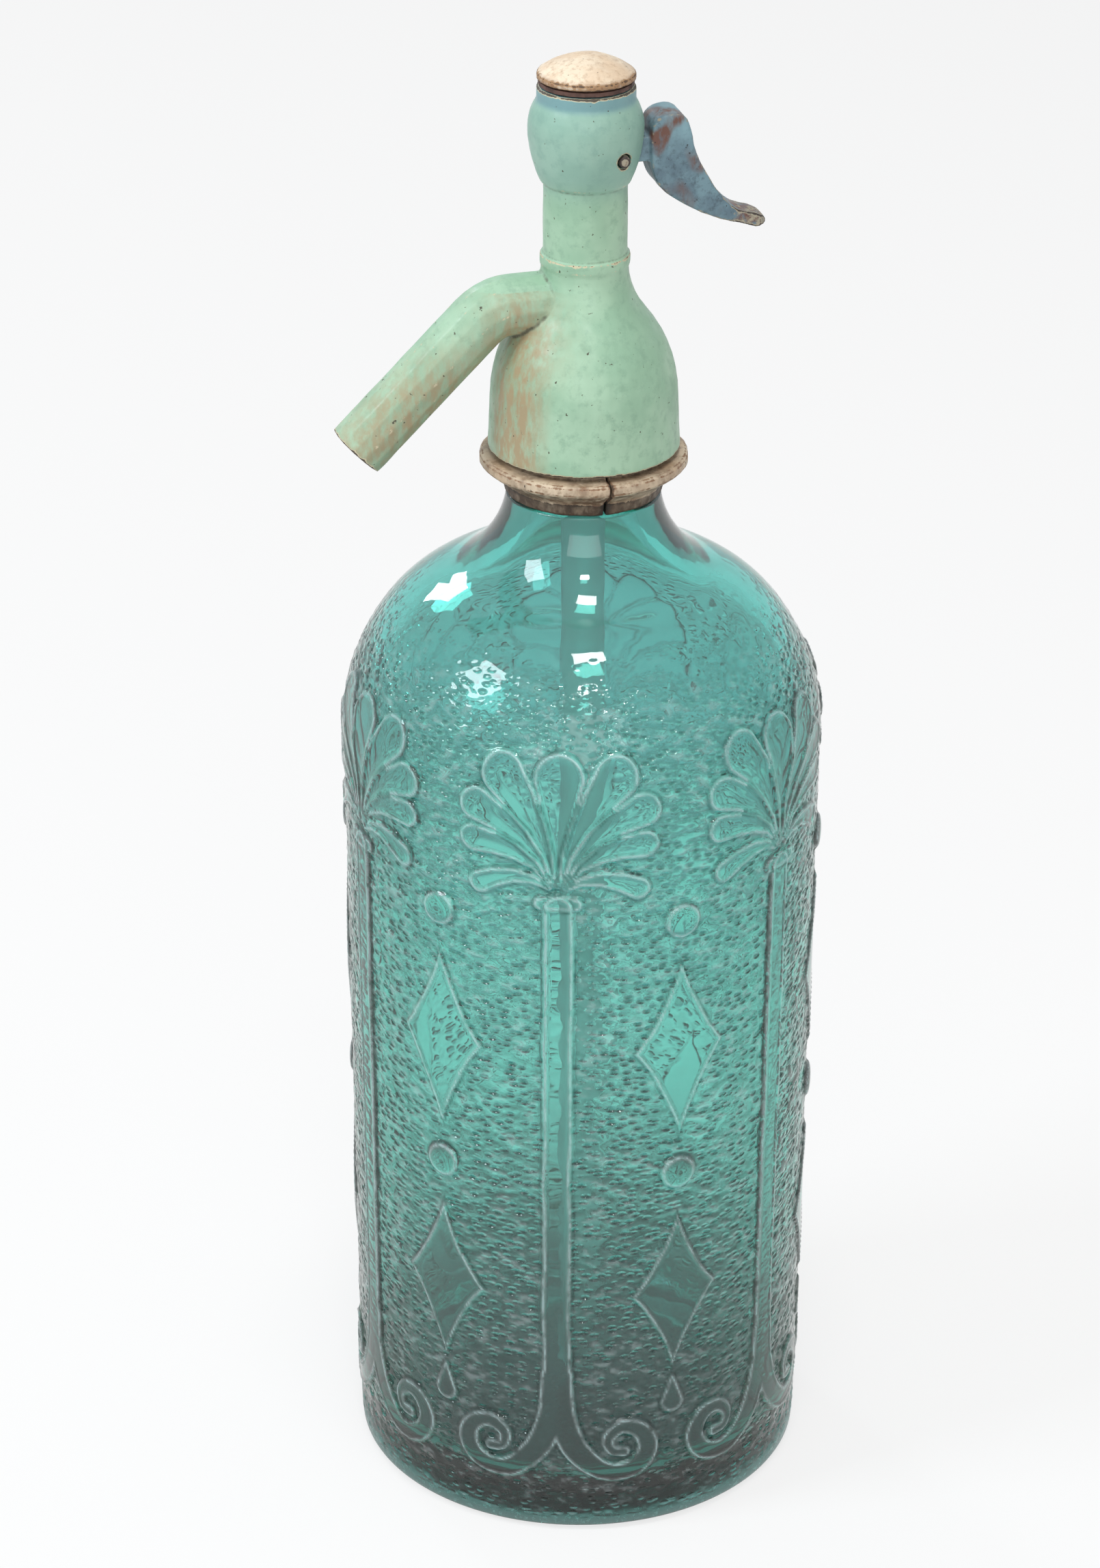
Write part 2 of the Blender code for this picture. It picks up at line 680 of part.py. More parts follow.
# The ground round the motifs, as a ring that is cut from the bottle's side
def make_relief_ground():
    foot = FOOT_RADIUS + (SHOULDER_RADIUS - FOOT_RADIUS) * RELIEF_FOOT / SIDE_HEIGHT
    top = shoulder_end_angle * RELIEF_TOP_SHARE
    sunk = arc(shoulder_centre, SHOULDER_CURVE - RELIEF_HEIGHT, 0, top, 4)
    clear = arc(shoulder_centre, SHOULDER_CURVE + OVERRUN, top, 0, 4)
    profile = [(foot - RELIEF_HEIGHT, RELIEF_FOOT)] + sunk + clear + [(foot + OVERRUN, RELIEF_FOOT)]
    ground = turned("relief_ground", profile, 0, None, ring=True, steps=ROUND_STEPS, collection=cutters)
    column = PALM_ANGLE + math.pi / PALM_COUNT
    upper = lozenge_outline(UPPER_LOZENGE_HEIGHT, UPPER_LOZENGE_WIDTH, UPPER_LOZENGE_LENGTH)
    lower = lozenge_outline(LOWER_LOZENGE_HEIGHT, LOWER_LOZENGE_WIDTH, LOWER_LOZENGE_LENGTH)
    blocks = [
        relief_block("palms", palm_outline(), PALM_ANGLE),
        relief_block("scrolls_left", scroll_outline(-1), PALM_ANGLE),
        relief_block("scrolls_right", scroll_outline(1), PALM_ANGLE),
        relief_block("upper_discs", disc_outline(UPPER_DISC_HEIGHT, DISC_RADIUS), column),
        relief_block("upper_lozenges", upper, column),
        relief_block("lower_discs", disc_outline(LOWER_DISC_HEIGHT, DISC_RADIUS), column),
        relief_block("lower_lozenges", lower, column),
        relief_block("buds", disc_outline(BUD_HEIGHT, BUD_RADIUS), column),
    ]
    for block in blocks:
        combine(ground, block, "DIFFERENCE")
    return ground


def make_bottle():
    profile = bottle_inside() + bottle_mouth() + bottle_outside()
    bottle = turned("glass_bottle", profile, 0, glass, steps=ROUND_STEPS)
    combine(bottle, make_relief_ground(), "DIFFERENCE")
    return bottle


def collar_profile():
    return [
        (BEAD_RADIUS + GAP, flange_top_z + THREAD_LENGTH),
        (THREAD_RADIUS, flange_top_z + THREAD_LENGTH),
        (THREAD_RADIUS, flange_top_z),
        (FLANGE_RADIUS - FLANGE_EDGE, flange_top_z),
        (FLANGE_RADIUS, flange_top_z - FLANGE_EDGE),
        (FLANGE_RADIUS, flange_z + FLANGE_EDGE),
        (FLANGE_RADIUS - FLANGE_EDGE, flange_z),
        (COLLAR_WAIST_RADIUS, collar_z + COLLAR_WAIST_HEIGHT),
        (COLLAR_FOOT_RADIUS, collar_z),
        (GRIP_RADIUS + GAP, collar_z),
        (GRIP_RADIUS + GAP, bead_z - GAP),
        (BEAD_RADIUS + GAP, bead_z - GAP),
    ]


# Half of the collar: side -1 keeps the spout's side, +1 the lever's
def make_collar_half(name, side):
    half = turned(name, collar_profile(), collar_z, collar_metal, ring=True, steps=ROUND_STEPS)
    wide = FLANGE_RADIUS + OVERRUN
    seam = side * GAP / 2
    low = (min(seam, -side * wide), -wide, collar_z - OVERRUN)
    high = (max(seam, -side * wide), wide, mouth_z + OVERRUN)
    combine(half, box_tool(name + "_cut", low, high), "DIFFERENCE")
    return half


def head_outside():
    throat = arc(throat_centre, THROAT_CURVE, math.pi, math.pi + bell_end_angle, 5)
    bell = arc(bell_centre, BELL_CURVE, bell_end_angle, 0, 7)[1:]
    upper_curve = bulge(BULB_RADIUS - BULB_TOP_RADIUS, BULB_SHOULDER)
    upper_angle = math.asin(BULB_SHOULDER / upper_curve)
    lower_curve = bulge(BULB_RADIUS - BULB_FOOT_RADIUS, BULB_RISE)
    lower_angle = -math.asin(BULB_RISE / lower_curve)
    upper = arc((BULB_RADIUS - upper_curve, bulb_widest_z), upper_curve, upper_angle, 0, 4)
    lower = arc((BULB_RADIUS - lower_curve, bulb_widest_z), lower_curve, 0, lower_angle, 5)[1:]
    ring_low = (RING_RADIUS, ring_z)
    ring_high = (RING_RADIUS, head_neck_z)
    neck = [(HEAD_NECK_RADIUS, bulb_z), (HEAD_NECK_RADIUS, head_neck_z), ring_high, ring_low]
    return [(BULB_TOP_RADIUS, head_top_z)] + upper + lower + neck + throat + bell + [(SKIRT_RADIUS, skirt_z)]


def head_inside():
    return [
        (cavity_radius, skirt_z),
        (cavity_radius, ceiling_z),
        (FITTING_RADIUS, ceiling_z),
        (FITTING_RADIUS, fitting_top_z),
        (CHAMBER_RADIUS, fitting_top_z),
        (CHAMBER_RADIUS, chamber_top_z),
        (NECK_BORE_RADIUS, chamber_top_z),
        (NECK_BORE_RADIUS, spring_room_z),
        (SPRING_ROOM_RADIUS, spring_room_z),
        (SPRING_ROOM_RADIUS, head_top_z),
    ]


# Middle line of the spout from x = -start, round the bend and down to its mouth
def spout_route(start, extra):
    turn = SPOUT_BEND * math.tan(SPOUT_ANGLE / 2)
    centre = (-SPOUT_REACH + turn, spout_z - SPOUT_BEND)
    bend = arc(centre, SPOUT_BEND, math.pi / 2, math.pi / 2 + SPOUT_ANGLE, BEND_STEPS)
    end_x = -SPOUT_REACH - (SPOUT_LENGTH + extra) * math.cos(SPOUT_ANGLE)
    end_z = spout_z - (SPOUT_LENGTH + extra) * math.sin(SPOUT_ANGLE)
    flat = [(-start, spout_z)] + bend + [(end_x, end_z)]
    return [(x, 0, z) for x, z in flat]


def lever_slot():
    half = SHANK_WIDTH / 2 + SLOT_CLEARANCE
    below = (BULB_RADIUS - PIVOT_REACH) * math.tan(LEVER_TRAVEL) + SHANK_RADIUS / math.cos(LEVER_TRAVEL)
    above = SHANK_RADIUS + SLOT_HEADROOM
    low = (PIVOT_REACH, -half, pivot_z - below - SLOT_CLEARANCE)
    high = (BULB_RADIUS + OVERRUN, half, pivot_z + above + SLOT_CLEARANCE)
    return box_tool("lever_slot_cut", low, high)


def make_head():
    profile = head_outside() + head_inside()
    head = turned("head_body", profile, skirt_z, painted_casting, ring=True, steps=ROUND_STEPS)
    spout = rod_along("spout_form", spout_route(CHAMBER_RADIUS + SPOUT_ROOT, 0), SPOUT_RADIUS, None, cutters, 5)
    combine(head, spout, "UNION")
    start = math.sqrt(CHAMBER_RADIUS**2 - SPOUT_BORE**2) - GAP
    bore = rod_along("spout_bore", spout_route(start, OVERRUN), SPOUT_BORE, None, cutters, 4)
    combine(head, bore, "DIFFERENCE")
    combine(head, lever_slot(), "DIFFERENCE")
    across = 2 * (BULB_RADIUS + OVERRUN)
    combine(head, cross_bar("pin_hole", pin_hole_radius, across, PIVOT_REACH, pivot_z), "DIFFERENCE")
    return head


def make_cap():
    rim_top = cap_z + CAP_RIM
    dome_radius = bulge(CAP_DOME, CAP_RADIUS - CAP_EDGE)
    dome_centre = (0, cap_top_z - dome_radius)
    edge_angle = math.acos((CAP_RADIUS - CAP_EDGE) / dome_radius)
    dome = arc(dome_centre, dome_radius, math.pi / 2, edge_angle, 4)
    spigot_z = cap_z - CAP_SPIGOT_LENGTH
    profile = [(0, cap_top_z)] + dome[1:] + [
        (CAP_RADIUS, rim_top - CAP_EDGE),
        (CAP_RADIUS, cap_z),
        (cap_spigot_radius, cap_z),
        (cap_spigot_radius, spigot_z),
        (CAP_RECESS_RADIUS, spigot_z),
        (CAP_RECESS_RADIUS, cap_recess_z),
        (0, cap_recess_z),
    ]
    return turned("top_cap", profile, cap_z, cap_paint, steps=ROUND_STEPS)


def make_cap_washer():
    inner = cap_spigot_radius + GAP
    outer = BULB_TOP_RADIUS - CAP_WASHER_INSET
    return ring("cap_washer", inner, outer, cap_washer_z, CAP_WASHER_THICKNESS, red_rubber)


def make_neck_gasket():
    z = mouth_z + GAP
    return ring("neck_gasket", GASKET_INNER_RADIUS, GASKET_RADIUS, z, GASKET_THICKNESS, red_rubber)


# Threaded ring with two notches across its underside for a wrench
def make_gland_nut():
    nut = ring("gland_nut", FERRULE_RADIUS + GAP, fitting_piece_radius, gland_z, GLAND_HEIGHT, brass)
    wide = FITTING_RADIUS + OVERRUN
    low = (-wide, -GLAND_NOTCH / 2, gland_z - OVERRUN)
    high = (wide, GLAND_NOTCH / 2, gland_z + GLAND_NOTCH_DEPTH)
    combine(nut, box_tool("gland_notch_cut", low, high), "DIFFERENCE")
    return nut


def make_ferrule():
    top = ferrule_z + FERRULE_FLANGE
    low = ferrule_z - FERRULE_LENGTH
    profile = [
        (WATER_BORE, top),
        (fitting_piece_radius, top),
        (fitting_piece_radius, ferrule_z),
        (FERRULE_RADIUS, ferrule_z),
        (FERRULE_RADIUS, low),
        (socket_radius, low),
        (socket_radius, ferrule_z),
        (WATER_BORE, ferrule_z),
    ]
    return turned("tube_ferrule", profile, ferrule_z, plain_tin, ring=True)


def make_sleeve():
    low = ferrule_z - FERRULE_LENGTH
    return ring("tube_sleeve", sleeve_inner_radius, sleeve_radius, low, tube_top_z - low, grey_rubber)


def make_dip_tube():
    return ring("dip_tube", TUBE_RADIUS - TUBE_WALL, TUBE_RADIUS, tube_z, tube_top_z - tube_z, tube_glass)


def make_seat_gasket():
    outer = fitting_piece_radius
    return ring("seat_gasket", SEAT_GASKET_BORE, outer, seat_gasket_z, SEAT_GASKET_THICKNESS, red_rubber)


def make_valve_seat():
    disc_top = seat_z + SEAT_DISC
    lip_top = disc_top + SEAT_LIP_HEIGHT
    profile = [
        (WATER_BORE, lip_top),
        (SEAT_LIP_RADIUS, lip_top),
        (SEAT_LIP_RADIUS, disc_top),
        (fitting_piece_radius, disc_top),
        (fitting_piece_radius, seat_z),
        (WATER_BORE, seat_z),
    ]
    return turned("valve_seat", profile, seat_z, brass, ring=True)


def make_valve_rubber():
    inner = SCREW_RADIUS + GAP
    z = valve_rubber_z
    return ring("valve_rubber", inner, VALVE_RUBBER_RADIUS, z, VALVE_RUBBER_THICKNESS, grey_rubber)


# Holder with a tapped hole below for the screw and a socket above for the rod
def make_valve_holder():
    flange_top = holder_z + HOLDER_FLANGE
    stem_top = flange_top + HOLDER_STEM
    screw_hole = SCREW_RADIUS + GAP
    hole_top = screw_z + SCREW_HEAD_HEIGHT + SCREW_LENGTH + GAP
    profile = [
        (0, flange_top),
        (rod_hole_radius, flange_top),
        (rod_hole_radius, stem_top),
        (HOLDER_STEM_RADIUS, stem_top),
        (HOLDER_STEM_RADIUS, flange_top),
        (HOLDER_RADIUS, flange_top),
        (HOLDER_RADIUS, holder_z),
        (screw_hole, holder_z),
        (screw_hole, hole_top),
        (0, hole_top),
    ]
    return turned("valve_holder", profile, holder_z, brass)


def make_valve_screw():
    head_top = screw_z + SCREW_HEAD_HEIGHT
    tip = head_top + SCREW_LENGTH
    profile = [(0, tip), (SCREW_RADIUS, tip), (SCREW_RADIUS, head_top)]
    profile += [(SCREW_HEAD_RADIUS, head_top), (SCREW_HEAD_RADIUS, screw_z), (0, screw_z)]
    screw = turned("valve_screw", profile, screw_z, brass)
    wide = SCREW_HEAD_RADIUS + OVERRUN
    low = (-wide, -SCREW_SLOT_WIDTH / 2, screw_z - OVERRUN)
    high = (wide, SCREW_SLOT_WIDTH / 2, screw_z + SCREW_SLOT_DEPTH)
    combine(screw, box_tool("screw_slot_cut", low, high), "DIFFERENCE")
    return screw


# Rod with the collar that the lever lifts and the shoulder that backs the packing
def make_spindle():
    profile = [
        (0, rod_top_z),
        (ROD_RADIUS - ROD_CHAMFER, rod_top_z),
        (ROD_RADIUS, rod_top_z - ROD_CHAMFER),
        (ROD_RADIUS, lift_collar_top_z),
        (LIFT_COLLAR_RADIUS, lift_collar_top_z),
        (LIFT_COLLAR_RADIUS, lift_collar_z),
        (ROD_RADIUS, lift_collar_z),
        (ROD_RADIUS, rod_shoulder_z + ROD_SHOULDER),
        (ROD_SHOULDER_RADIUS, rod_shoulder_z + ROD_SHOULDER),
        (ROD_SHOULDER_RADIUS, rod_shoulder_z),
        (ROD_RADIUS, rod_shoulder_z),
        (ROD_RADIUS, rod_z),
        (0, rod_z),
    ]
    return turned("valve_spindle", profile, rod_z, brass)


# Cup leather, its skirt hanging round the washer and rubbing on the neck's bore
def make_packing_leather():
    outer = leather_radius
    web_top = leather_web_z + LEATHER_WEB
    skirt_low = leather_web_z - LEATHER_SKIRT
    profile = [
        (rod_hole_radius, web_top),
        (outer, web_top),
        (outer, skirt_low),
        (outer - LEATHER_WALL, skirt_low),
        (outer - LEATHER_WALL, leather_web_z),
        (rod_hole_radius, leather_web_z),
    ]
    return turned("packing_leather", profile, leather_web_z, leather, ring=True)


def make_packing_washer():
    outer = leather_radius - LEATHER_WALL - GAP
    z = packing_washer_z
    return ring("packing_washer", rod_hole_radius, outer, z, PACKING_WASHER_THICKNESS, brass)


def make_packing_nut():
    height = PACKING_NUT_HEIGHT
    middle = packing_nut_z + height / 2
    bpy.ops.mesh.primitive_cylinder_add(vertices=6, radius=PACKING_NUT_RADIUS, depth=height)
    nut = bpy.context.active_object
    nut.name = "packing_nut"
    nut.location.z = middle
    nut.data.materials.append(brass)
    move_to(nut, siphon)
    low = packing_nut_z - OVERRUN
    high = packing_nut_z + height + OVERRUN
    hole = turned("nut_hole", cylinder_profile(rod_hole_radius, low, high), low, None, collection=cutters)
    combine(nut, hole, "DIFFERENCE")
    return nut


def spring_route():
    low = spring_z + SPRING_WIRE
    high = spring_top_z - SPRING_WIRE
    count = SPRING_TURNS * SPRING_POINTS_A_TURN
    route = []
    for step in range(count + 1):
        angle = 2 * math.pi * step / SPRING_POINTS_A_TURN
        height = low + (high - low) * step / count
        route.append((SPRING_RADIUS * math.cos(angle), SPRING_RADIUS * math.sin(angle), height))
    return route


def least_gap(route, skip, radius):
    gaps = []
    for first, start in enumerate(route):
        for end in route[first + skip:]:
            gaps.append(math.dist(start, end) - 2 * radius)
    return min(gaps)


def make_spring():
    route = spring_route()
    gap = least_gap(route, SPRING_POINTS_A_TURN // 2, SPRING_WIRE)
    print("spring: least gap between turns", round(gap * 1000, 2), "mm")
    return rod_along("valve_spring", route, SPRING_WIRE, spring_steel, siphon, 1)


# Half width of the bulb at the pin: its radius there is on the bulb's lower curve
def half_width_at_pin():
    curve = bulge(BULB_RADIUS - BULB_FOOT_RADIUS, BULB_RISE)
    radius = BULB_RADIUS - curve + math.sqrt(curve**2 - (bulb_widest_z - pivot_z) ** 2)
    return math.sqrt(radius**2 - PIVOT_REACH**2)


def make_lever_pin():
    end = half_width_at_pin() + PIN_PROUD
    flank = end - PIN_CROWN
    end_radius = PIN_RADIUS - PIN_CROWN
    profile = [
        (0, end),
        (end_radius, end),
        (PIN_RADIUS, flank),
        (PIN_RADIUS, -flank),
        (end_radius, -end),
        (0, -end),
    ]
    pin = turned("lever_pin", profile, 0, plain_tin)
    pin.rotation_euler.x = math.radians(90)
    pin.location = (PIVOT_REACH, 0, pivot_z)
    return pin


# Outline of the blade in the XZ plane, measured from the pin
def blade_outline():
    below = BLADE_LOWER_SHARES + BLADE_OUTER_SHARES
    low_side = [(along_blade(x), -LEVER_DROP * z) for x, z in below]
    high_side = [(along_blade(x), LEVER_RISE * z) for x, z in BLADE_TOP_SHARES]
    return low_side + high_side


def along_blade(share):
    return blade_start + (LEVER_REACH - blade_start) * share


# Plan of the blade: full width at the bulb, narrower and rounded at the thumb end
def blade_plan():
    full = LEVER_WIDTH / 2
    tip = LEVER_TIP_WIDTH / 2
    side = [(along_blade(x), full + (tip - full) * share) for x, share in BLADE_PLAN_SHARES]
    side.append((LEVER_REACH + LEVER_EDGE, tip * BLADE_TIP_SHARE))
    return side + [(x, -y) for x, y in reversed(side)]


# All lever pieces are drawn with the pin at the origin and then moved to the pivot
def make_lever():
    outline = blade_outline()
    width = LEVER_WIDTH
    lever = plate("lever", outline, width, LEVER_EDGE, True, lever_metal, siphon)
    plan = plate("lever_plan", blade_plan(), 4 * LEVER_DROP, 0, False, None, cutters)
    plan.rotation_euler.x = 0
    combine(lever, plan, "INTERSECT")
    shank_width = SHANK_WIDTH
    pin_place = (0, 0)
    shank_end = (blade_start + SHANK_ROOT, 0)
    nose_place = (-PIVOT_REACH, NOSE_RISE)
    shank = belt_outline(pin_place, HUB_RADIUS, shank_end, SHANK_RADIUS, 8)
    arm = belt_outline(pin_place, HUB_RADIUS, nose_place, NOSE_RADIUS, 8)
    tools = [plate("lever_shank", shank, shank_width, 0, False, None, cutters)]
    tools.append(plate("lever_arm", arm, shank_width, 0, False, None, cutters))
    for tool in tools:
        combine(lever, tool, "UNION")
    half = ROD_RADIUS + FORK_CLEARANCE
    low = (-PIVOT_REACH - NOSE_RADIUS - OVERRUN, -half, -HUB_RADIUS - OVERRUN)
    high = (-PIVOT_REACH + FORK_DEPTH, half, HUB_RADIUS + OVERRUN)
    tools.append(box_tool("fork_cut", low, high))
    combine(lever, tools[-1], "DIFFERENCE")
    tools.append(cross_bar("hub_hole", pin_hole_radius, LEVER_WIDTH + OVERRUN, 0, 0))
    combine(lever, tools[-1], "DIFFERENCE")
    for piece in [lever, plan] + tools:
        piece.location.x += PIVOT_REACH
        piece.location.z += pivot_z
    return lever


make_bottle()
make_neck_gasket()
make_collar_half("collar_half_spout_side", -1)
make_collar_half("collar_half_lever_side", 1)
make_head()
make_cap()
make_cap_washer()
make_gland_nut()
make_ferrule()
make_sleeve()
make_dip_tube()
make_seat_gasket()
make_valve_seat()
make_valve_rubber()
make_valve_holder()
make_valve_screw()
make_spindle()
make_packing_nut()
make_packing_washer()
make_packing_leather()
make_spring()
make_lever()
make_lever_pin()
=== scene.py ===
import math

import bmesh
import bpy
import numpy as np
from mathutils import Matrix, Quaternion, Vector, noise


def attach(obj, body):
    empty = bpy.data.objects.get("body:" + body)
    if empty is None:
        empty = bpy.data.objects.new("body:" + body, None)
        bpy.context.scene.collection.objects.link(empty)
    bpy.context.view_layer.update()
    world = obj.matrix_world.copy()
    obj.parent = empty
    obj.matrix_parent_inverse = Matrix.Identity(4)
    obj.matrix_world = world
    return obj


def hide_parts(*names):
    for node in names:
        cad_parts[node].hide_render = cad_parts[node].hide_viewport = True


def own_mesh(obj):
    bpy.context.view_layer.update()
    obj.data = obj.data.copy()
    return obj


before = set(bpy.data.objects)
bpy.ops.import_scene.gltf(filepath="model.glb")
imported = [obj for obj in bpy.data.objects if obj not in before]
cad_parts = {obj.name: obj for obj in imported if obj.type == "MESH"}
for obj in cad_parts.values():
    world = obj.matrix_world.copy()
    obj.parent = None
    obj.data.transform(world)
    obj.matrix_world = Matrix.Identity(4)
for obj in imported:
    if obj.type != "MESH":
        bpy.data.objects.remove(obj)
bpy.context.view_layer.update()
mm = 0.001
print("siphon: packed model loaded")


# Points and pieces. Lengths are in millimetres, and mm turns them into the frame's metres.

def arcPoints(centre, radius, start, end, steps):
    angles = [start + (end - start) * i / steps for i in range(steps + 1)]
    return [(centre[0] + radius * math.cos(a), centre[1] + radius * math.sin(a)) for a in angles]


# rounds every corner of a line of points that turns more than about 20 degrees
def softCorners(points, radius, closed=False, steps=4):
    made = []
    count = len(points)
    for i, point in enumerate(points):
        if not closed and i in (0, count - 1):
            made.append(point)
            continue
        here = Vector(point)
        before = Vector(points[i - 1]) - here
        after = Vector(points[(i + 1) % count]) - here
        if before.length < 1e-6 or after.length < 1e-6:
            continue
        if before.angle(after) > math.radians(160):
            made.append(point)
            continue
        start = here + before.normalized() * min(radius, before.length * 0.45)
        end = here + after.normalized() * min(radius, after.length * 0.45)
        for k in range(steps + 1):
            t = k / steps
            spot = start * (1 - t) ** 2 + here * 2 * t * (1 - t) + end * t ** 2
            made.append((spot.x, spot.y))
    return made


# points at an even spacing along a line of points
def evenPoints(points, spacing):
    line = np.array(points, float)
    lengths = np.hypot(*(line[1:] - line[:-1]).T)
    along = np.concatenate([[0], np.cumsum(lengths)])
    count = max(int(round(along[-1] / spacing)), 1)
    wanted = np.linspace(0, along[-1], count + 1)
    return np.stack([np.interp(wanted, along, line[:, 0]), np.interp(wanted, along, line[:, 1])], axis=1)


def linkPiece(name, mesh):
    mesh.shade_smooth()
    piece = bpy.data.objects.new(name, mesh)
    bpy.context.scene.collection.objects.link(piece)
    return piece


def pieceFrom(name, points, faces):
    mesh = bpy.data.meshes.new(name)
    mesh.from_pydata(points, [], faces)
    mesh.update()
    return linkPiece(name, mesh)


def outwardNormals(piece):
    edited = bmesh.new()
    edited.from_mesh(piece.data)
    bmesh.ops.recalc_face_normals(edited, faces=edited.faces)
    edited.to_mesh(piece.data)
    edited.free()


# a ring turned about Z from a closed profile
def turnedRing(name, profile, columns):
    points = []
    for r, z in profile:
        for k in range(columns):
            a = 2 * math.pi * k / columns
            points.append((r * mm * math.cos(a), r * mm * math.sin(a), z * mm))
    faces = []
    for i in range(len(profile)):
        upper = i * columns
        lower = (i + 1) % len(profile) * columns
        for k in range(columns):
            n = (k + 1) % columns
            faces.append((upper + k, upper + n, lower + n, lower + k))
    piece = pieceFrom(name, points, faces)
    outwardNormals(piece)
    return piece


def applyModifiers(piece):
    bpy.context.view_layer.update()
    evaluated = piece.evaluated_get(bpy.context.evaluated_depsgraph_get())
    mesh = bpy.data.meshes.new_from_object(evaluated)
    piece.modifiers.clear()
    old = piece.data
    piece.data = mesh
    bpy.data.meshes.remove(old)
    mesh.shade_smooth()
    return piece


# a round rod with flat ends along a route of (x, y, z)
def rodPiece(name, route, radius, sides):
    curve = bpy.data.curves.new(name, "CURVE")
    curve.dimensions = "3D"
    curve.bevel_depth = radius * mm
    curve.bevel_resolution = sides // 4 - 1
    curve.use_fill_caps = True
    spline = curve.splines.new("POLY")
    spline.points.add(len(route) - 1)
    for point, place in zip(spline.points, route):
        point.co = (place[0] * mm, place[1] * mm, place[2] * mm, 1)
    rod = bpy.data.objects.new(name, curve)
    bpy.context.scene.collection.objects.link(rod)
    bpy.context.view_layer.update()
    mesh = bpy.data.meshes.new_from_object(rod.evaluated_get(bpy.context.evaluated_depsgraph_get()))
    bpy.data.objects.remove(rod, do_unlink=True)
    edited = bmesh.new()
    edited.from_mesh(mesh)
    bmesh.ops.remove_doubles(edited, verts=edited.verts, dist=1e-6)
    bmesh.ops.recalc_face_normals(edited, faces=edited.faces)
    edited.to_mesh(mesh)
    edited.free()
    return linkPiece(name, mesh)


# remeshes a piece finely and eases its edges, as thick paint on a casting does
def castSkin(piece, grain, easing):
    remesh = piece.modifiers.new("remesh", "REMESH")
    remesh.mode = "VOXEL"
    remesh.voxel_size = grain * mm
    remesh.use_smooth_shade = True
    smooth = piece.modifiers.new("ease", "SMOOTH")
    smooth.factor = 0.5
    smooth.iterations = easing
    return applyModifiers(piece)


def readPoints(mesh):
    flat = np.empty(len(mesh.vertices) * 3)
    mesh.vertices.foreach_get("co", flat)
    return flat.reshape(-1, 3)


def readNormals(mesh):
    flat = np.empty(len(mesh.vertices) * 3)
    mesh.vertex_normals.foreach_get("vector", flat)
    return flat.reshape(-1, 3)


def writePoints(mesh, points):
    mesh.vertices.foreach_set("co", points.ravel())
    mesh.update()


# soft noise at each point: size is a bump's width
def noiseAt(points, size, seed=0, octaves=2):
    scaled = points / (size * mm) + seed * 7.31
    return np.array([noise.fractal(Vector(p), 0.8, 2.1, octaves) for p in scaled])


def smoothStep(value, low, high):
    t = np.clip((value - low) / (high - low), 0, 1)
    return t * t * (3 - 2 * t)


# uneven casting and dents: a dent is (x, y, z, radius, depth)
def wearSurface(piece, uneven, bumpSize, dents=(), seed=0):
    mesh = piece.data
    points = readPoints(mesh)
    normals = readNormals(mesh)
    sink = uneven * mm * (0.5 + 0.5 * noiseAt(points, bumpSize, seed))
    for x, y, z, radius, depth in dents:
        reach = np.linalg.norm(points - np.array((x, y, z)) * mm, axis=1) / (radius * mm)
        sink += depth * mm * np.exp(-reach ** 2)
    writePoints(mesh, points - normals * sink[:, None])


def storeWear(piece, name, values):
    layer = piece.data.attributes.new(name, "FLOAT", "POINT")
    layer.data.foreach_set("value", np.asarray(values, float))


# Nodes that the finishes are made of

def newFinish(name):
    finish = bpy.data.materials.new(name)
    finish.use_nodes = True
    tree = finish.node_tree
    return finish, tree, tree.nodes["Principled BSDF"]


def feed(tree, value, socket):
    if isinstance(value, bpy.types.NodeSocket):
        tree.links.new(value, socket)
    else:
        socket.default_value = value


def addNode(tree, kind, sockets=None, **settings):
    made = tree.nodes.new("ShaderNode" + kind)
    for key, value in settings.items():
        setattr(made, key, value)
    for key, value in (sockets or {}).items():
        feed(tree, value, made.inputs[key])
    return made


def placeOn(tree):
    return addNode(tree, "TexCoord").outputs["Object"]


# noise whose bumps are about size millimetres wide: stretch squeezes it along each axis
def speckle(tree, size, detail=3.0, rough=0.5, stretch=(1, 1, 1)):
    place = placeOn(tree)
    if stretch != (1, 1, 1):
        place = addNode(tree, "Mapping", {"Vector": place, "Scale": stretch}).outputs["Vector"]
    sockets = {"Vector": place, "Scale": 1 / (size * mm), "Detail": detail, "Roughness": rough}
    return addNode(tree, "TexNoise", sockets).outputs["Fac"]


def between(tree, value, low, high):
    sockets = {"Value": value, "From Min": low, "From Max": high}
    return addNode(tree, "MapRange", sockets, interpolation_type="SMOOTHSTEP").outputs["Result"]


def calc(tree, operation, first, second=0.0, clamp=False):
    made = addNode(tree, "Math", operation=operation, use_clamp=clamp)
    feed(tree, first, made.inputs[0])
    feed(tree, second, made.inputs[1])
    return made.outputs[0]


# a colour written as in a picture, such as 93b79b
def shade(hexColour):
    parts = [int(hexColour[i:i + 2], 16) / 255 for i in (0, 2, 4)]
    return (*[c / 12.92 if c < 0.04045 else ((c + 0.055) / 1.055) ** 2.4 for c in parts], 1.0)


def blendColour(tree, factor, first, second):
    made = addNode(tree, "Mix", data_type="RGBA")
    feed(tree, factor, made.inputs[0])
    feed(tree, first, made.inputs[6])
    feed(tree, second, made.inputs[7])
    return made.outputs[2]


def wearOf(tree, name):
    return addNode(tree, "Attribute", attribute_name=name).outputs["Fac"]


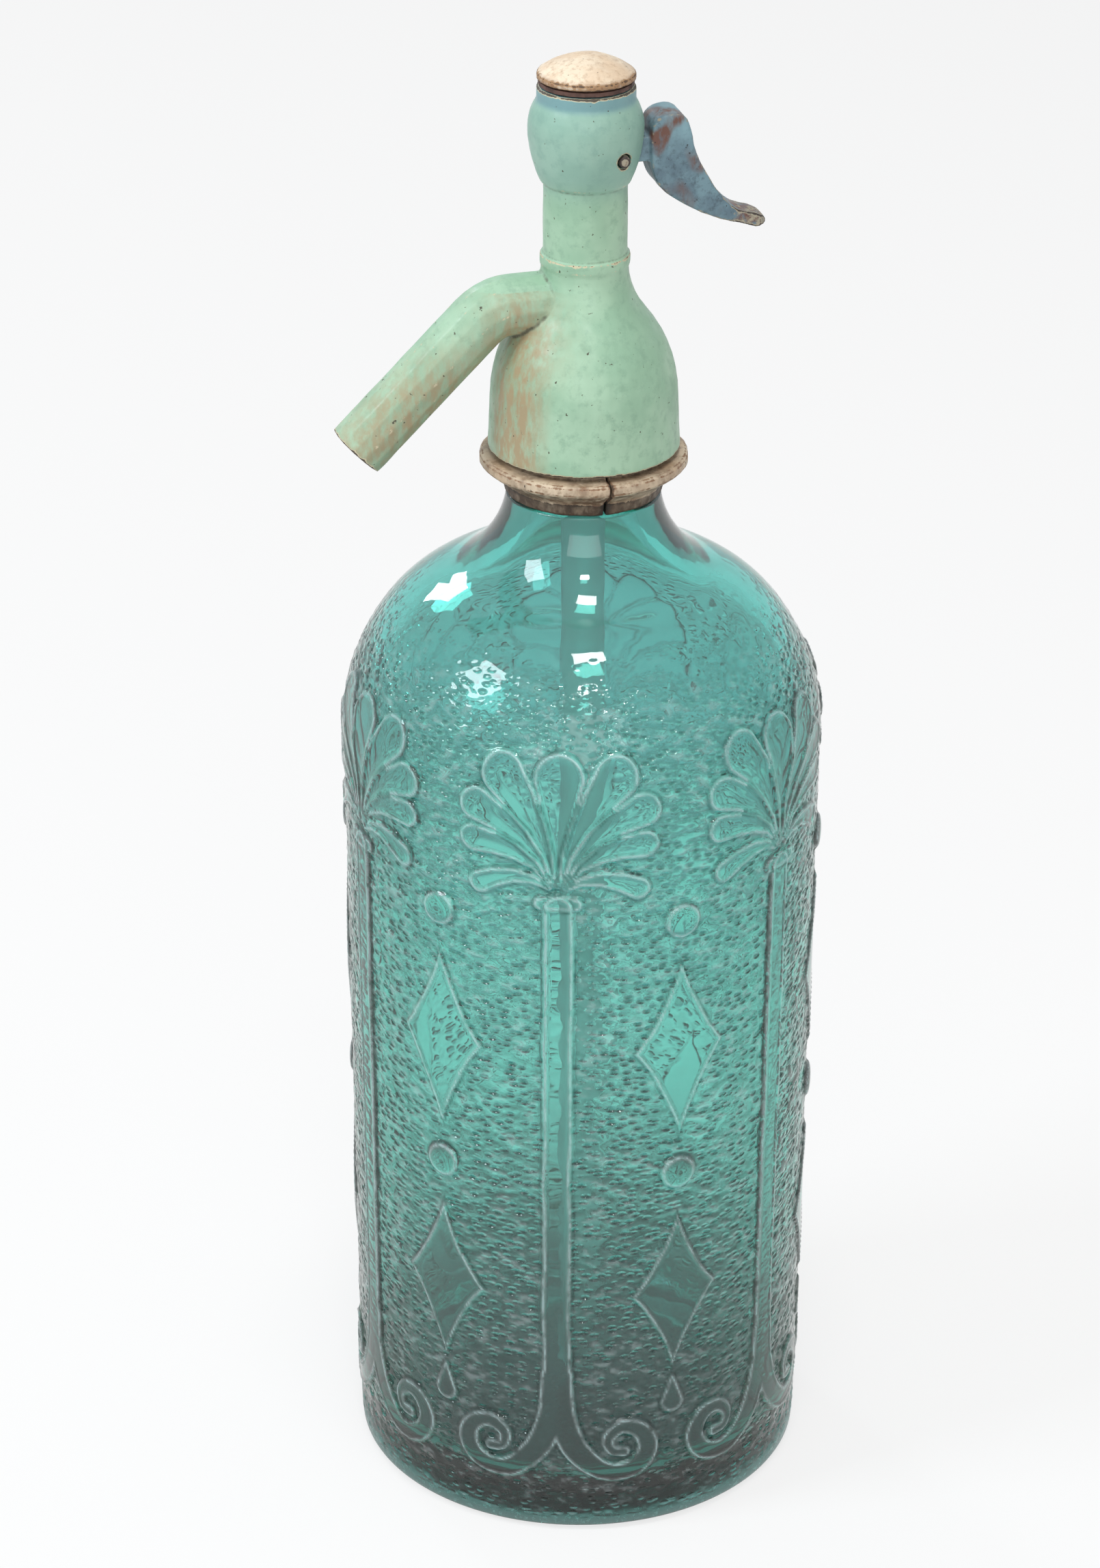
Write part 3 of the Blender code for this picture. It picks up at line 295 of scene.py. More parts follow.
def reliefOf(tree, shader, height, distance, strength=1.0, under=None):
    sockets = {"Height": height, "Distance": distance * mm, "Strength": strength}
    if under is not None:
        sockets["Normal"] = under
    made = addNode(tree, "Bump", sockets)
    tree.links.new(made.outputs["Normal"], shader.inputs["Normal"])


# Camera, floor and light

cameraSetup = {
    "place": (-0.2329, -0.8437, 0.5865),
    "turn": 15.0,       # degrees right of +Y
    "down": 26.205,
    "roll": -0.2,
    "lens": 106.62,
}


def makeCamera(setup):
    data = bpy.data.cameras.new("photoCamera")
    data.lens = setup["lens"]
    data.sensor_width = 36
    camera = bpy.data.objects.new("photoCamera", data)
    bpy.context.scene.collection.objects.link(camera)
    turn = math.radians(setup["turn"])
    down = math.radians(setup["down"])
    look = Vector((math.sin(turn) * math.cos(down), math.cos(turn) * math.cos(down), -math.sin(down)))
    camera.location = setup["place"]
    camera.rotation_mode = "QUATERNION"
    camera.rotation_quaternion = Quaternion(look, math.radians(setup["roll"])) @ look.to_track_quat("-Z", "Y")
    bpy.context.scene.camera = camera


studio = {
    "floorSize": 3.2,         # metres
    "floorColour": (0.86, 0.86, 0.86, 1),
    "floorGlow": 0.74,        # share of plain white that the camera sees on the floor
    "ambient": 0.44,          # light from all round
    "glassSky": 0.55,         # the air as it is seen through glass
    "glossSky": 0.95,         # and as it is mirrored in gloss
    "glossFloor": 0.90,
    "skyTint": (0.86, 0.95, 1.0, 1),
    # the floor as it is seen through glass, painted with a shadow round the bottle's foot, a pool of light
    # beyond it and bluish shade further out: (metres from the bottle's axis, tone, how blue)
    "floorTones": (
        (0.0, 0.10, 0.0), (0.06, 0.16, 0.0), (0.115, 0.75, 0.0), (0.18, 1.0, 0.0),
        (0.27, 0.95, 0.1), (0.34, 0.40, 0.7), (0.42, 0.62, 0.8), (1.0, 0.50, 0.6),
    ),
    "lamps": {
        # place, width, height, power, colour
        "leftWindow": ((-1.05, -0.15, 1.15), 0.42, 0.50, 8.5, (0.86, 0.94, 1.0)),
        "frontPanel": ((-0.45, -1.85, 0.95), 1.5, 0.8, 9.0, (1.0, 1.0, 1.0)),
        "frontWindow": ((-0.21, -0.93, 1.46), 0.20, 0.13, 3.4, (1.0, 1.0, 1.0)),
        "ceilingLight": ((-0.03, -0.30, 1.62), 0.30, 0.24, 5.0, (1.0, 0.99, 0.97)),
        "farWindow": ((-0.45, 1.35, 1.0), 0.25, 0.35, 3.0, (0.92, 0.96, 1.0)),
    },
}


def raysOf(tree, kind):
    return addNode(tree, "LightPath").outputs[kind]


def mixShaders(tree, factor, first, second):
    made = addNode(tree, "MixShader")
    feed(tree, factor, made.inputs[0])
    tree.links.new(first, made.inputs[1])
    tree.links.new(second, made.inputs[2])
    return made.outputs["Shader"]


def makeFloor(setup):
    bpy.ops.mesh.primitive_circle_add(vertices=96, radius=setup["floorSize"], fill_type="NGON")
    floor = bpy.context.active_object
    floor.name = "paleFloor"
    finish, tree, shader = newFinish("paleFloor")
    shader.inputs["Base Color"].default_value = setup["floorColour"]
    shader.inputs["Roughness"].default_value = 0.9
    shader.inputs["Specular IOR Level"].default_value = 0.0
    white = addNode(tree, "Emission", {"Color": (1, 1, 1, 1), "Strength": 1.0})
    glow = calc(tree, "MULTIPLY", raysOf(tree, "Is Camera Ray"), setup["floorGlow"])
    lit = mixShaders(tree, glow, shader.outputs["BSDF"], white.outputs["Emission"])
    # through glass the floor shows painted shadow, light and shade by its distance from the bottle's axis
    away = addNode(tree, "VectorMath", {0: placeOn(tree)}, operation="LENGTH").outputs["Value"]
    tones = addNode(tree, "ValToRGB", {"Fac": away})
    ramp = tones.color_ramp
    ramp.interpolation = "EASE"
    while len(ramp.elements) < len(setup["floorTones"]):
        ramp.elements.new(0.5)
    for stop, (place, tone, blue) in zip(ramp.elements, setup["floorTones"]):
        stop.position = place
        stop.color = (tone * (1 - 0.35 * blue), tone * (1 - 0.08 * blue), tone * (0.96 + 0.04 * blue), 1)
    toned = addNode(tree, "Emission", {"Color": tones.outputs["Color"], "Strength": 1.0})
    grey = setup["glossFloor"]
    mirrored = addNode(tree, "Emission", {"Color": (grey, grey, grey, 1), "Strength": 1.0})
    whole = mixShaders(tree, raysOf(tree, "Is Glossy Ray"), lit, mirrored.outputs["Emission"])
    whole = mixShaders(tree, raysOf(tree, "Is Transmission Ray"), whole, toned.outputs["Emission"])
    tree.links.new(whole, tree.nodes["Material Output"].inputs["Surface"])
    floor.data.materials.append(finish)


def makeWorld(setup):
    world = bpy.data.worlds.new("studioAir")
    bpy.context.scene.world = world
    world.use_nodes = True
    tree = world.node_tree
    background = tree.nodes["Background"]
    plain = calc(tree, "ADD", raysOf(tree, "Is Camera Ray"), raysOf(tree, "Is Diffuse Ray"), clamp=True)
    tree.links.new(blendColour(tree, plain, setup["skyTint"], (1, 1, 1, 1)), background.inputs["Color"])
    level = setup["ambient"]
    levels = {
        "Is Camera Ray": 1.0,
        "Is Glossy Ray": setup["glossSky"],
        "Is Transmission Ray": setup["glassSky"],
    }
    for kind, wanted in levels.items():
        change = calc(tree, "MULTIPLY", raysOf(tree, kind), wanted - setup["ambient"])
        level = calc(tree, "ADD", change, level)
    tree.links.new(level, background.inputs["Strength"])


def makeLamps(setup):
    for name, (place, wide, tall, power, colour) in setup["lamps"].items():
        data = bpy.data.lights.new(name, "AREA")
        data.shape = "RECTANGLE"
        data.size = wide
        data.size_y = tall
        data.energy = power
        data.color = colour
        lamp = bpy.data.objects.new(name, data)
        bpy.context.scene.collection.objects.link(lamp)
        lamp.location = place
        aim = Vector((0, 0, 0.2)) - Vector(place)
        lamp.rotation_mode = "QUATERNION"
        lamp.rotation_quaternion = aim.to_track_quat("-Z", "Y")


makeCamera(cameraSetup)
makeFloor(studio)
makeWorld(studio)
makeLamps(studio)
bpy.context.scene.view_settings.view_transform = "Standard"
print("siphon: camera, floor and light")


# Pressed glass bottle

bottle = {
    "footRadius": 48.7,
    "shoulderRadius": 50.3,
    "sideHeight": 172.0,
    "heelCurve": 4.0,
    "shoulderCurve": 37.0,
    "wall": 6.0,
    "standingRing": 8.0,
    "puntSlope": 2.5,
    "puntDepth": 3.5,
    "floor": 9.0,
    "innerHeel": 8.0,
    "neckRadius": 15.6,
    "neckCurve": 22.0,
    "neckCut": 2.8,
    "gripRadius": 13.1,
    "gripLength": 12.7,
    "beadRadius": 15.6,
    "beadHeight": 5.2,
    "lipRadius": 13.9,
    "lipHeight": 1.1,
    "columns": 720,
    "innerColumns": 144,
    "rowSpacing": 0.46,
    "palms": 6,
    "palmAngle": 249.3,      # degrees from +X to the palm at the front
    "patternRadius": 49.6,   # radius at which the ornament's widths are measured
    "groundDepth": 0.64,     # hammered ground under the bottle's full size
    "faceDepth": 0.27,       # faces of petals, lozenges and scrolls
    "ridge": 0.26,           # raised outline on them
    "hammer": 0.16,
    "hammerWidth": 2.1,
    "hammerHeight": 1.15,
    "strikeDepth": 0.35,     # finer marks of the hammering, in the finish
    "absorbColour": (0.03, 0.78, 0.71, 1),
    "absorbDensity": 165.0,
    "clear": 0.955,          # the rest of the light is scattered by fine scratches and lime
    # painted highlight: paler, less clear glass on the ornament's ridges and the hammering's high places,
    # with some rubbing
    "highlightVeil": (0.66, 0.88, 0.90, 1),
    # painted shade in the hammering's dimples and low places
    "pitShade": (0.10, 0.19, 0.17, 1),
    # painted shade just outside the ornament's outlines
    "creaseShade": (0.05, 0.10, 0.09, 1),
    "scuffTop": 13.0,        # the heel is scuffed, rougher and darker grey-brown up to here
    "heelDarkTint": (0.16, 0.12, 0.125, 1),
    "shadedLow": (10.0, 66.0), # and the side is painted darker, as shade, towards the bottom, fading out between these heights
    "lowShadeTint": (0.60, 0.60, 0.60, 1),
    "dimple": (2.5, 1.35),   # width and height of the marks of the hammering
    # moulded between the palms: (height, half width, half height, how hollow its sides are)
    "lozenges": ((117.6, 9.9, 20.3, 0.86), (59.0, 10.0, 18.8, 0.84)),
    "discs": ((147.6, 3.8), (88.1, 3.8)),     # height, radius
}

# each stroke is a line of (across, height, half width) from a palm's middle, in millimetres
palmPetals = [
    [(0, 157.5, 0.7), (0, 166, 1.5), (0, 174, 3.6), (0, 180.6, 5.3)],
    [(0.9, 158, 0.7), (2.0, 164, 1.2), (4.6, 170.5, 2.3), (8.2, 176.6, 3.7), (11.6, 181.0, 4.7)],
    [(1.4, 158.5, 0.7), (3.6, 163.6, 1.2), (7.6, 168.2, 2.1), (12.4, 171.6, 3.0), (17.0, 173.8, 3.8)],
    [(1.6, 158, 0.7), (4.4, 161.8, 1.1), (8.6, 164.4, 1.9), (13.0, 165.8, 2.6), (17.4, 166.2, 3.1)],
    [(1.8, 157, 0.7), (5.0, 158.6, 1.1), (9.0, 159.0, 1.7), (13.0, 158.0, 2.2), (16.3, 156.4, 2.5)],
]
palmKnot = [(0, 153.4, 1.7), (3.5, 153.2, 1.5)]
palmTrunk = [(0, 152, 3.0), (0, 30, 3.1)]
palmScroll = [
    (0.5, 40, 3.0), (1.2, 30, 3.1), (4.0, 22, 3.1), (9.0, 16.4, 2.6), (13.8, 15.0, 2.3), (18.4, 16.8, 2.4),
    (20.3, 21.0, 2.4), (18.4, 25.2, 2.1), (14.6, 26.5, 1.8), (11.6, 24.0, 1.5), (12.2, 20.8, 1.3),
    (14.9, 20.2, 1.4),
]
budStroke = [(0, 31.2, 2.8), (0, 35.0, 1.4), (0, 37.5, 0.4)]


# the glass in section, as (radius, height): outside, inside with the mouth, and base
def bottleLines(b):
    shoulderAt = (b["shoulderRadius"] - b["shoulderCurve"], b["sideHeight"])
    across = b["neckRadius"] + b["neckCurve"] - shoulderAt[0]
    along = math.sqrt((b["shoulderCurve"] + b["neckCurve"]) ** 2 - across ** 2)
    neckAt = (b["neckRadius"] + b["neckCurve"], b["sideHeight"] + along)
    meet = math.atan2(along, across)
    upright = math.pi + math.asin(b["neckCut"] / b["neckCurve"])
    outside = arcPoints(neckAt, b["neckCurve"], upright, math.pi + meet, 40)
    outside += arcPoints(shoulderAt, b["shoulderCurve"], meet, 0, 80)[1:]
    heelAt = (b["footRadius"] - b["heelCurve"], b["heelCurve"])
    outside += arcPoints(heelAt, b["heelCurve"], 0, -math.pi / 2, 12)
    innerHeelAt = (b["footRadius"] - b["wall"] - b["innerHeel"], b["floor"] + b["innerHeel"])
    inside = [(0, b["floor"])]
    inside += arcPoints(innerHeelAt, b["innerHeel"], -math.pi / 2, 0, 12)
    inside += arcPoints(shoulderAt, b["shoulderCurve"] - b["wall"], 0, meet, 24)
    inside += arcPoints(neckAt, b["neckCurve"] + b["wall"], math.pi + meet, math.pi, 20)[1:]
    stepAt = neckAt[1] - b["neckCut"]
    beadAt = stepAt + b["gripLength"]
    beadTop = beadAt + b["beadHeight"]
    top = beadTop + b["lipHeight"]
    bore = b["neckRadius"] - b["wall"]
    mouth = [(bore, top), (b["lipRadius"], top), (b["lipRadius"], beadTop), (b["beadRadius"], beadTop)]
    mouth += [(b["beadRadius"], beadAt), (b["gripRadius"], beadAt), (b["gripRadius"], stepAt), outside[0]]
    mouth = softCorners([inside[-1]] + mouth, 0.5)
    ringInside = b["footRadius"] - b["heelCurve"] - b["standingRing"]
    base = [outside[-1], (ringInside, 0), (ringInside - b["puntSlope"], b["puntSlope"]), (0, b["puntDepth"])]
    return outside, inside[:-1] + mouth[:-1], softCorners(base, 0.8)[1:]


# a smooth line through the points of a stroke
def softStroke(points, steps=6):
    line = np.array([points[0]] + list(points) + [points[-1]], float)
    made = []
    for before, start, end, after in zip(line, line[1:], line[2:], line[3:]):
        for k in range(steps):
            t = k / steps
            bend = (2 * before - 5 * start + 4 * end - after) * t ** 2
            bend = bend + (3 * start - before - 3 * end + after) * t ** 3
            made.append(start + 0.5 * ((end - before) * t + bend))
    made.append(line[-1])
    return [tuple(place) for place in made]


# how far each place lies outside the edge of a shape: below zero is inside it
def strokeDistance(across, height, spine):
    best = np.full(across.shape, 1e3)
    for (u0, z0, w0), (u1, z1, w1) in zip(spine, spine[1:]):
        du, dz = u1 - u0, z1 - z0
        share = np.clip(((across - u0) * du + (height - z0) * dz) / (du * du + dz * dz), 0, 1)
        away = np.hypot(across - u0 - du * share, height - z0 - dz * share)
        best = np.minimum(best, away - (w0 + (w1 - w0) * share))
    return best


def lozengeDistance(across, height, middle, halfWide, halfTall, hollow):
    u = np.abs(across) / halfWide
    v = np.abs(height - middle) / halfTall
    size = (u ** hollow + v ** hollow + 1e-9) ** (1 / hollow)
    return (size - 1) * halfWide * halfTall / math.hypot(halfWide, halfTall)


def discDistance(across, height, middle, radius):
    return np.hypot(across, height - middle) - radius


# smooth noise on a grid of cells that closes on itself round the bottle
def cellNoise(turns, height, around, cellHeight, seed):
    rng = np.random.default_rng(seed)
    rows = int(260 / cellHeight) + 4
    grid = rng.uniform(-1, 1, (rows, around))
    x = (turns % 1) * around
    y = np.clip(height / cellHeight, 0, rows - 2.01)
    x = x + 0.5 * (np.floor(y) % 2)
    x0, y0 = np.floor(x).astype(int), np.floor(y).astype(int)
    fx, fy = x - x0, y - y0
    fx, fy = fx * fx * (3 - 2 * fx), fy * fy * (3 - 2 * fy)
    low = grid[y0, x0 % around] * (1 - fx) + grid[y0, (x0 + 1) % around] * fx
    high = grid[y0 + 1, x0 % around] * (1 - fx) + grid[y0 + 1, (x0 + 1) % around] * fx
    return low * (1 - fy) + high * fy


# height of the relief over the bottle's full size, and the shares of its marks, at each turn and height
def ornamentHeight(b, turns, height):
    sector = 1 / b["palms"]
    fromPalm = (turns - b["palmAngle"] / 360 + sector / 2) % sector - sector / 2
    girth = 2 * math.pi * b["patternRadius"]
    drift = cellNoise(turns, height, 24, 11, 5) * 0.25
    rise = cellNoise(turns, height, 24, 11, 6) * 0.25
    u = np.abs(fromPalm * girth + drift)
    z = height + rise
    w = sector / 2 * girth - u
    ground = np.full(u.shape, -b["groundDepth"])
    top = ground.copy()
    cover = np.zeros(u.shape)
    nearest = np.full(u.shape, 1e3)
    face = -b["faceDepth"]

    # presses one shape into the relief: its face is dished or domed, and its edge has a ridge
    def press(distance, edge=0.5, ridge=b["ridge"], dish=0.0, dome=0.0, width=3.0):
        nonlocal top, cover, nearest
        inside = smoothStep(-distance, -edge, edge * 0.4)
        deep = np.clip(-distance / width, 0, 1)
        shape = face - dish * deep + dome * np.sqrt(1 - (1 - deep) ** 2)
        shape = shape + ridge * np.exp(-((distance + 0.5) / 0.27) ** 2)
        top = np.maximum(top, ground + (shape - ground) * inside)
        cover = np.maximum(cover, inside)
        nearest = np.where(np.abs(distance) < np.abs(nearest), distance, nearest)

    for spine in palmPetals:
        press(strokeDistance(u, z, spine), dish=0.16)
    press(strokeDistance(u, z, palmKnot), dome=0.12, ridge=0.1, width=1.6)
    trunk = strokeDistance(u, z, palmTrunk)
    press(np.minimum(trunk, strokeDistance(u, z, softStroke(palmScroll))), dome=0.14)
    for lozenge in b["lozenges"]:
        press(lozengeDistance(w, z, *lozenge), edge=0.6, ridge=0.24)
    for disc in b["discs"]:
        press(discDistance(w, z, *disc), edge=0.6, ridge=0.0, dome=0.75, width=3.4)
    press(strokeDistance(w, z, budStroke), edge=0.6, ridge=0.16)
    around = int(round(2 * math.pi * b["patternRadius"] / b["hammerWidth"]))
    beaten = (1 - cover) * smoothStep(height, 2.5, 5.0) * (1 - smoothStep(height, 186, 204))
    beat = cellNoise(turns, height + drift * 2, around, b["hammerHeight"], 11)
    beat = beat + 0.5 * cellNoise(turns, height, int(around * 1.7), b["hammerHeight"] * 0.62, 12)
    top = top + beat * b["hammer"] * beaten
    edgeFade = smoothStep(height, 1.0, 3.2) * (1 - smoothStep(height, 188, 202))
    # painted highlight along the ornament's ridges and on the hammering's high places, where the glass is
    # also rubbed
    ridgeRubHighlight = np.exp(-((nearest + 0.42) / 0.27) ** 2)
    marks = {
        "beaten": beaten,                                  # hammered ground
        "pit": smoothStep(-beat, 0.12, 0.62) * beaten,     # its low places
        "rubbedHighlight": np.maximum(ridgeRubHighlight, 0.35 * smoothStep(beat, 0.35, 0.8) * beaten),
        # painted shade just outside the ornament's outlines
        "crease": np.exp(-((nearest - 0.38) / 0.36) ** 2) * smoothStep(height, 8, 14),
    }
    return top * edgeFade, marks


# faces between a ring of many points and a ring of few
def stitchRings(wide, narrow):
    share = len(wide) // len(narrow)
    half = share // 2 + share % 2
    faces = []
    for j, here in enumerate(narrow):
        after = narrow[(j + 1) % len(narrow)]
        for k in range(share):
            a, c = wide[j * share + k], wide[(j * share + k + 1) % len(wide)]
            faces.append((a, c, here if k < half else after))
        faces.append((wide[j * share + half], after, here))
    return faces


def makeBottle(b):
    outside, inside, base = bottleLines(b)
    line = evenPoints(outside, b["rowSpacing"])
    slope = np.gradient(line, axis=0)
    normal = np.stack([-slope[:, 1], slope[:, 0]], axis=1)
    normal /= np.linalg.norm(normal, axis=1)[:, None]
    columns, few = b["columns"], b["innerColumns"]
    turns = np.arange(columns) / columns
    grid = np.broadcast_to(turns, (len(line), columns))
    heights = np.broadcast_to(line[:, 1:2], grid.shape)
    relief, marks = ornamentHeight(b, grid, heights)
    radius = line[:, 0:1] + normal[:, 0:1] * relief
    z = line[:, 1:2] + normal[:, 1:2] * relief
    z = np.maximum(z, 0)
    angle = grid * 2 * math.pi
    points = np.stack([radius * np.cos(angle), radius * np.sin(angle), z], axis=-1).reshape(-1, 3)
    rows, cols = len(line), columns
    i, k = np.meshgrid(np.arange(rows - 1), np.arange(cols), indexing="ij")
    n = (k + 1) % cols
    corners = [i * cols + k, i * cols + n, (i + 1) * cols + n, (i + 1) * cols + k]
    faces = np.stack(corners, axis=-1).reshape(-1, 4).tolist()
    points = points.tolist()

    # rings of few points that close the glass from its first row or from its last one
    def addRings(profile, start):
        made = []
        for r, height in profile:
            if r < 1e-6:
                made.append([len(points)] * few)
                points.append((0, 0, height))
                continue
            made.append(list(range(len(points), len(points) + few)))
            for j in range(few):
                a = 2 * math.pi * j / few
                points.append((r * math.cos(a), r * math.sin(a), height))
        for first, second in zip(made, made[1:]):
            for j in range(few):
                m = (j + 1) % few
                corners = tuple(dict.fromkeys((first[j], first[m], second[m], second[j])))
                if len(corners) > 2:
                    faces.append(corners)
        faces.extend(stitchRings(start, made[-1] if start[0] == 0 else made[0]))

    addRings(inside, list(range(columns)))
    addRings(base, list(range((rows - 1) * cols, rows * cols)))
    piece = pieceFrom("pressedBottle", (np.array(points) * mm).tolist(), faces)
    for name, share in marks.items():
        storeWear(piece, name, np.concatenate([share.ravel(), np.zeros(len(points) - share.size)]))
    outwardNormals(piece)
    return piece


def bottleGlassFinish(b):
    finish, tree, shader = newFinish("tealPressedGlass")
    shader.inputs["IOR"].default_value = 1.5
    height = addNode(tree, "SeparateXYZ", {"Vector": placeOn(tree)}).outputs["Z"]
    low = calc(tree, "SUBTRACT", 1.0, between(tree, height, 0.5 * b["scuffTop"] * mm, b["scuffTop"] * mm))
    scuff = calc(tree, "MULTIPLY", low, between(tree, speckle(tree, 1.1, 5.0, 0.7), 0.10, 0.5), clamp=True)
    # painted shade: the glass greyer at the bottom, fading out by the upper height
    lowShade = calc(tree, "SUBTRACT", 1.0, between(tree, height, b["shadedLow"][0] * mm, b["shadedLow"][1] * mm))
    tint = blendColour(tree, lowShade, (0.97, 1.0, 1.0, 1), b["lowShadeTint"])
    wide, tall = b["dimple"]
    cells = addNode(tree, "Mapping", {"Vector": placeOn(tree), "Scale": (1 / wide, 1 / wide, 1 / tall)})
    sockets = {"Vector": cells.outputs["Vector"], "Scale": 1 / mm, "Randomness": 0.85}
    cells = addNode(tree, "TexVoronoi", sockets)
    dimple = calc(tree, "SUBTRACT", 1.0, between(tree, cells.outputs["Distance"], 0.10, 0.52))
    dimple = calc(tree, "MULTIPLY", dimple, wearOf(tree, "beaten"))
    broken = between(tree, speckle(tree, 14.0, 2.0, 0.5), 0.30, 0.62)
    # painted shade in the hammering's dimples and low places
    pits = calc(tree, "MULTIPLY", dimple, calc(tree, "ADD", calc(tree, "MULTIPLY", broken, 0.5), 0.4))
    pits = calc(tree, "MAXIMUM", pits, calc(tree, "MULTIPLY", wearOf(tree, "pit"), 0.35))
    tint = blendColour(tree, pits, tint, b["pitShade"])
    patchy = between(tree, speckle(tree, 5.0, 3.0, 0.6), 0.38, 0.6)
    patchy = calc(tree, "ADD", calc(tree, "MULTIPLY", patchy, 0.6), 0.25)
    # painted shade in patches just outside the ornament's outlines
    crease = calc(tree, "MULTIPLY", wearOf(tree, "crease"), patchy)
    tint = blendColour(tree, crease, tint, b["creaseShade"])
    # darker grey-brown over the scuffed heel
    tint = blendColour(tree, scuff, tint, b["heelDarkTint"])
    uneven = between(tree, speckle(tree, 2.4, 4.0, 0.6), 0.25, 0.6)
    # painted highlight on the ridges and hammer tops: a pale veil that lets less light through, with some
    # rubbing
    rubbedHighlight = calc(tree, "MULTIPLY", wearOf(tree, "rubbedHighlight"), uneven)
    tint = blendColour(tree, rubbedHighlight, tint, b["highlightVeil"])
    tree.links.new(tint, shader.inputs["Base Color"])
    clear = calc(tree, "SUBTRACT", b["clear"], calc(tree, "MULTIPLY", rubbedHighlight, 0.4))
    tree.links.new(clear, shader.inputs["Transmission Weight"])
    rub = between(tree, speckle(tree, 6.0, 4.0, 0.6), 0.35, 0.75)
    rough = calc(tree, "ADD", calc(tree, "MULTIPLY", rub, 0.04), calc(tree, "MULTIPLY", scuff, 0.28))
    tree.links.new(calc(tree, "ADD", rough, 0.01), shader.inputs["Roughness"])
    wavy = speckle(tree, 9.0, 2.0, 0.4)
    first = addNode(tree, "Bump", {"Height": wavy, "Distance": 0.25 * mm, "Strength": 0.5})
    struck = calc(tree, "SUBTRACT", 1.0, dimple)
    reliefOf(tree, shader, struck, b["strikeDepth"], 1.0, under=first.outputs["Normal"])
    air = addNode(tree, "VolumeAbsorption", {"Color": b["absorbColour"], "Density": b["absorbDensity"]})
    tree.links.new(air.outputs["Volume"], tree.nodes["Material Output"].inputs["Volume"])
    return finish


pressedBottle = makeBottle(bottle)
pressedBottle.data.materials.append(bottleGlassFinish(bottle))
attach(pressedBottle, "root")
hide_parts("glass_bottle")
print("siphon: bottle with its moulded palms, faces:", len(pressedBottle.data.polygons))


# Dip tube and valve spring

dipTube = {"radius": 4.5, "bore": 2.6, "low": 14.0, "high": 246.5, "lip": 0.6, "columns": 64}
springWire = {
    "radius": 3.15,
    "wire": 0.48,
    "low": 300.25,
    "high": 311.25,
    "turns": 5.0,
    "steps": 36,
    "endTurn": 0.9,         # the end turns lie flat
    "endRise": 0.25,
    "fixedEnd": 311.302,    # the cap's inside, where the spring stays as the spindle rises
    "keep": 0.856,
}


def makeDipTube(t):
    bore, radius, low, high = t["bore"], t["radius"], t["low"], t["high"]
    outline = [(bore, low), (radius, low), (radius, high), (bore, high)]
    tube = turnedRing("dipTubeGlass", softCorners(outline, t["lip"], closed=True), t["columns"])
    finish, tree, shader = newFinish("clearDrawnGlass")
    shader.inputs["Base Color"].default_value = (0.93, 0.98, 0.97, 1)
    shader.inputs["Transmission Weight"].default_value = 1.0
    shader.inputs["IOR"].default_value = 1.5
    drawn = speckle(tree, 1.2, 2.0, 0.5, stretch=(1, 1, 0.05))
    haze = between(tree, speckle(tree, 7.0, 4.0, 0.6), 0.35, 0.75)     # lime left by the water
    tree.links.new(calc(tree, "ADD", calc(tree, "MULTIPLY", haze, 0.30), 0.30), shader.inputs["Roughness"])
    reliefOf(tree, shader, drawn, 0.05, 0.4)
    tube.data.materials.append(finish)
    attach(tube, "root")
    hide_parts("dip_tube")


def makeSpring(s):
    count = int(s["turns"] * s["steps"])
    rise = s["high"] - s["low"] - 2 * s["wire"]
    route = []
    for i in range(count + 1):
        turn = i / s["steps"]
        share = min(max((turn - s["endTurn"]) / (s["turns"] - 2 * s["endTurn"]), 0), 1)
        a = 2 * math.pi * turn
        z = s["low"] + s["wire"] + rise * share + s["endRise"] * min(turn, s["endTurn"])
        z -= s["endRise"] * min(s["turns"] - turn, s["endTurn"])
        z = min(max(z, s["low"] + s["wire"]), s["high"] - s["wire"])
        route.append((s["radius"] * math.cos(a), s["radius"] * math.sin(a), z))
    spring = rodPiece("springCoil", route, s["wire"], sides=24)
    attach(spring, "root")
    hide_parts("valve_spring")
    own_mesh(spring)
    return spring


makeDipTube(dipTube)
springCoil = makeSpring(springWire)
print("siphon: dip tube and spring")


# Painted castings. Each stores four marks at its points: worn shows the undercoat and then bare metal, stain
# and cool change the paint's colour (cool is a painted highlight on the lever), and grime darkens hollows and
# paints shade on inner surfaces.

# a copy of a node's imported mesh with finer faces and eased edges
def castingFrom(node, name, grain, easing):
    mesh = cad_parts[node].data.copy()
    mesh.materials.clear()
    return castSkin(linkPiece(name, mesh), grain, easing)


# how sharply each point stands out from its neighbours, 0 to 1: paint goes there first
def edgeWear(piece, sharp):
    points = readPoints(piece.data)
    normals = readNormals(piece.data)
    edges = np.empty(len(piece.data.edges) * 2, dtype=np.int64)
    piece.data.edges.foreach_get("vertices", edges)
    a, b = edges.reshape(-1, 2).T
    smooth = points
    for _ in range(6):
        total = np.zeros_like(points)
        count = np.zeros(len(points))
        np.add.at(total, a, smooth[b])
        np.add.at(total, b, smooth[a])
        np.add.at(count, a, 1)
        np.add.at(count, b, 1)
        smooth = total / np.maximum(count, 1)[:, None]
    return np.einsum("ij,ij->i", points - smooth, normals) / (sharp * mm)


# wear in spots of (x, y, z, radius, strength)
def spotWear(points, spots):
    total = np.zeros(len(points))
    for x, y, z, radius, strength in spots:
        away = np.linalg.norm(points - np.array((x, y, z)) * mm, axis=1) / (radius * mm)
        total = np.maximum(total, strength * np.exp(-away ** 4))
    return total


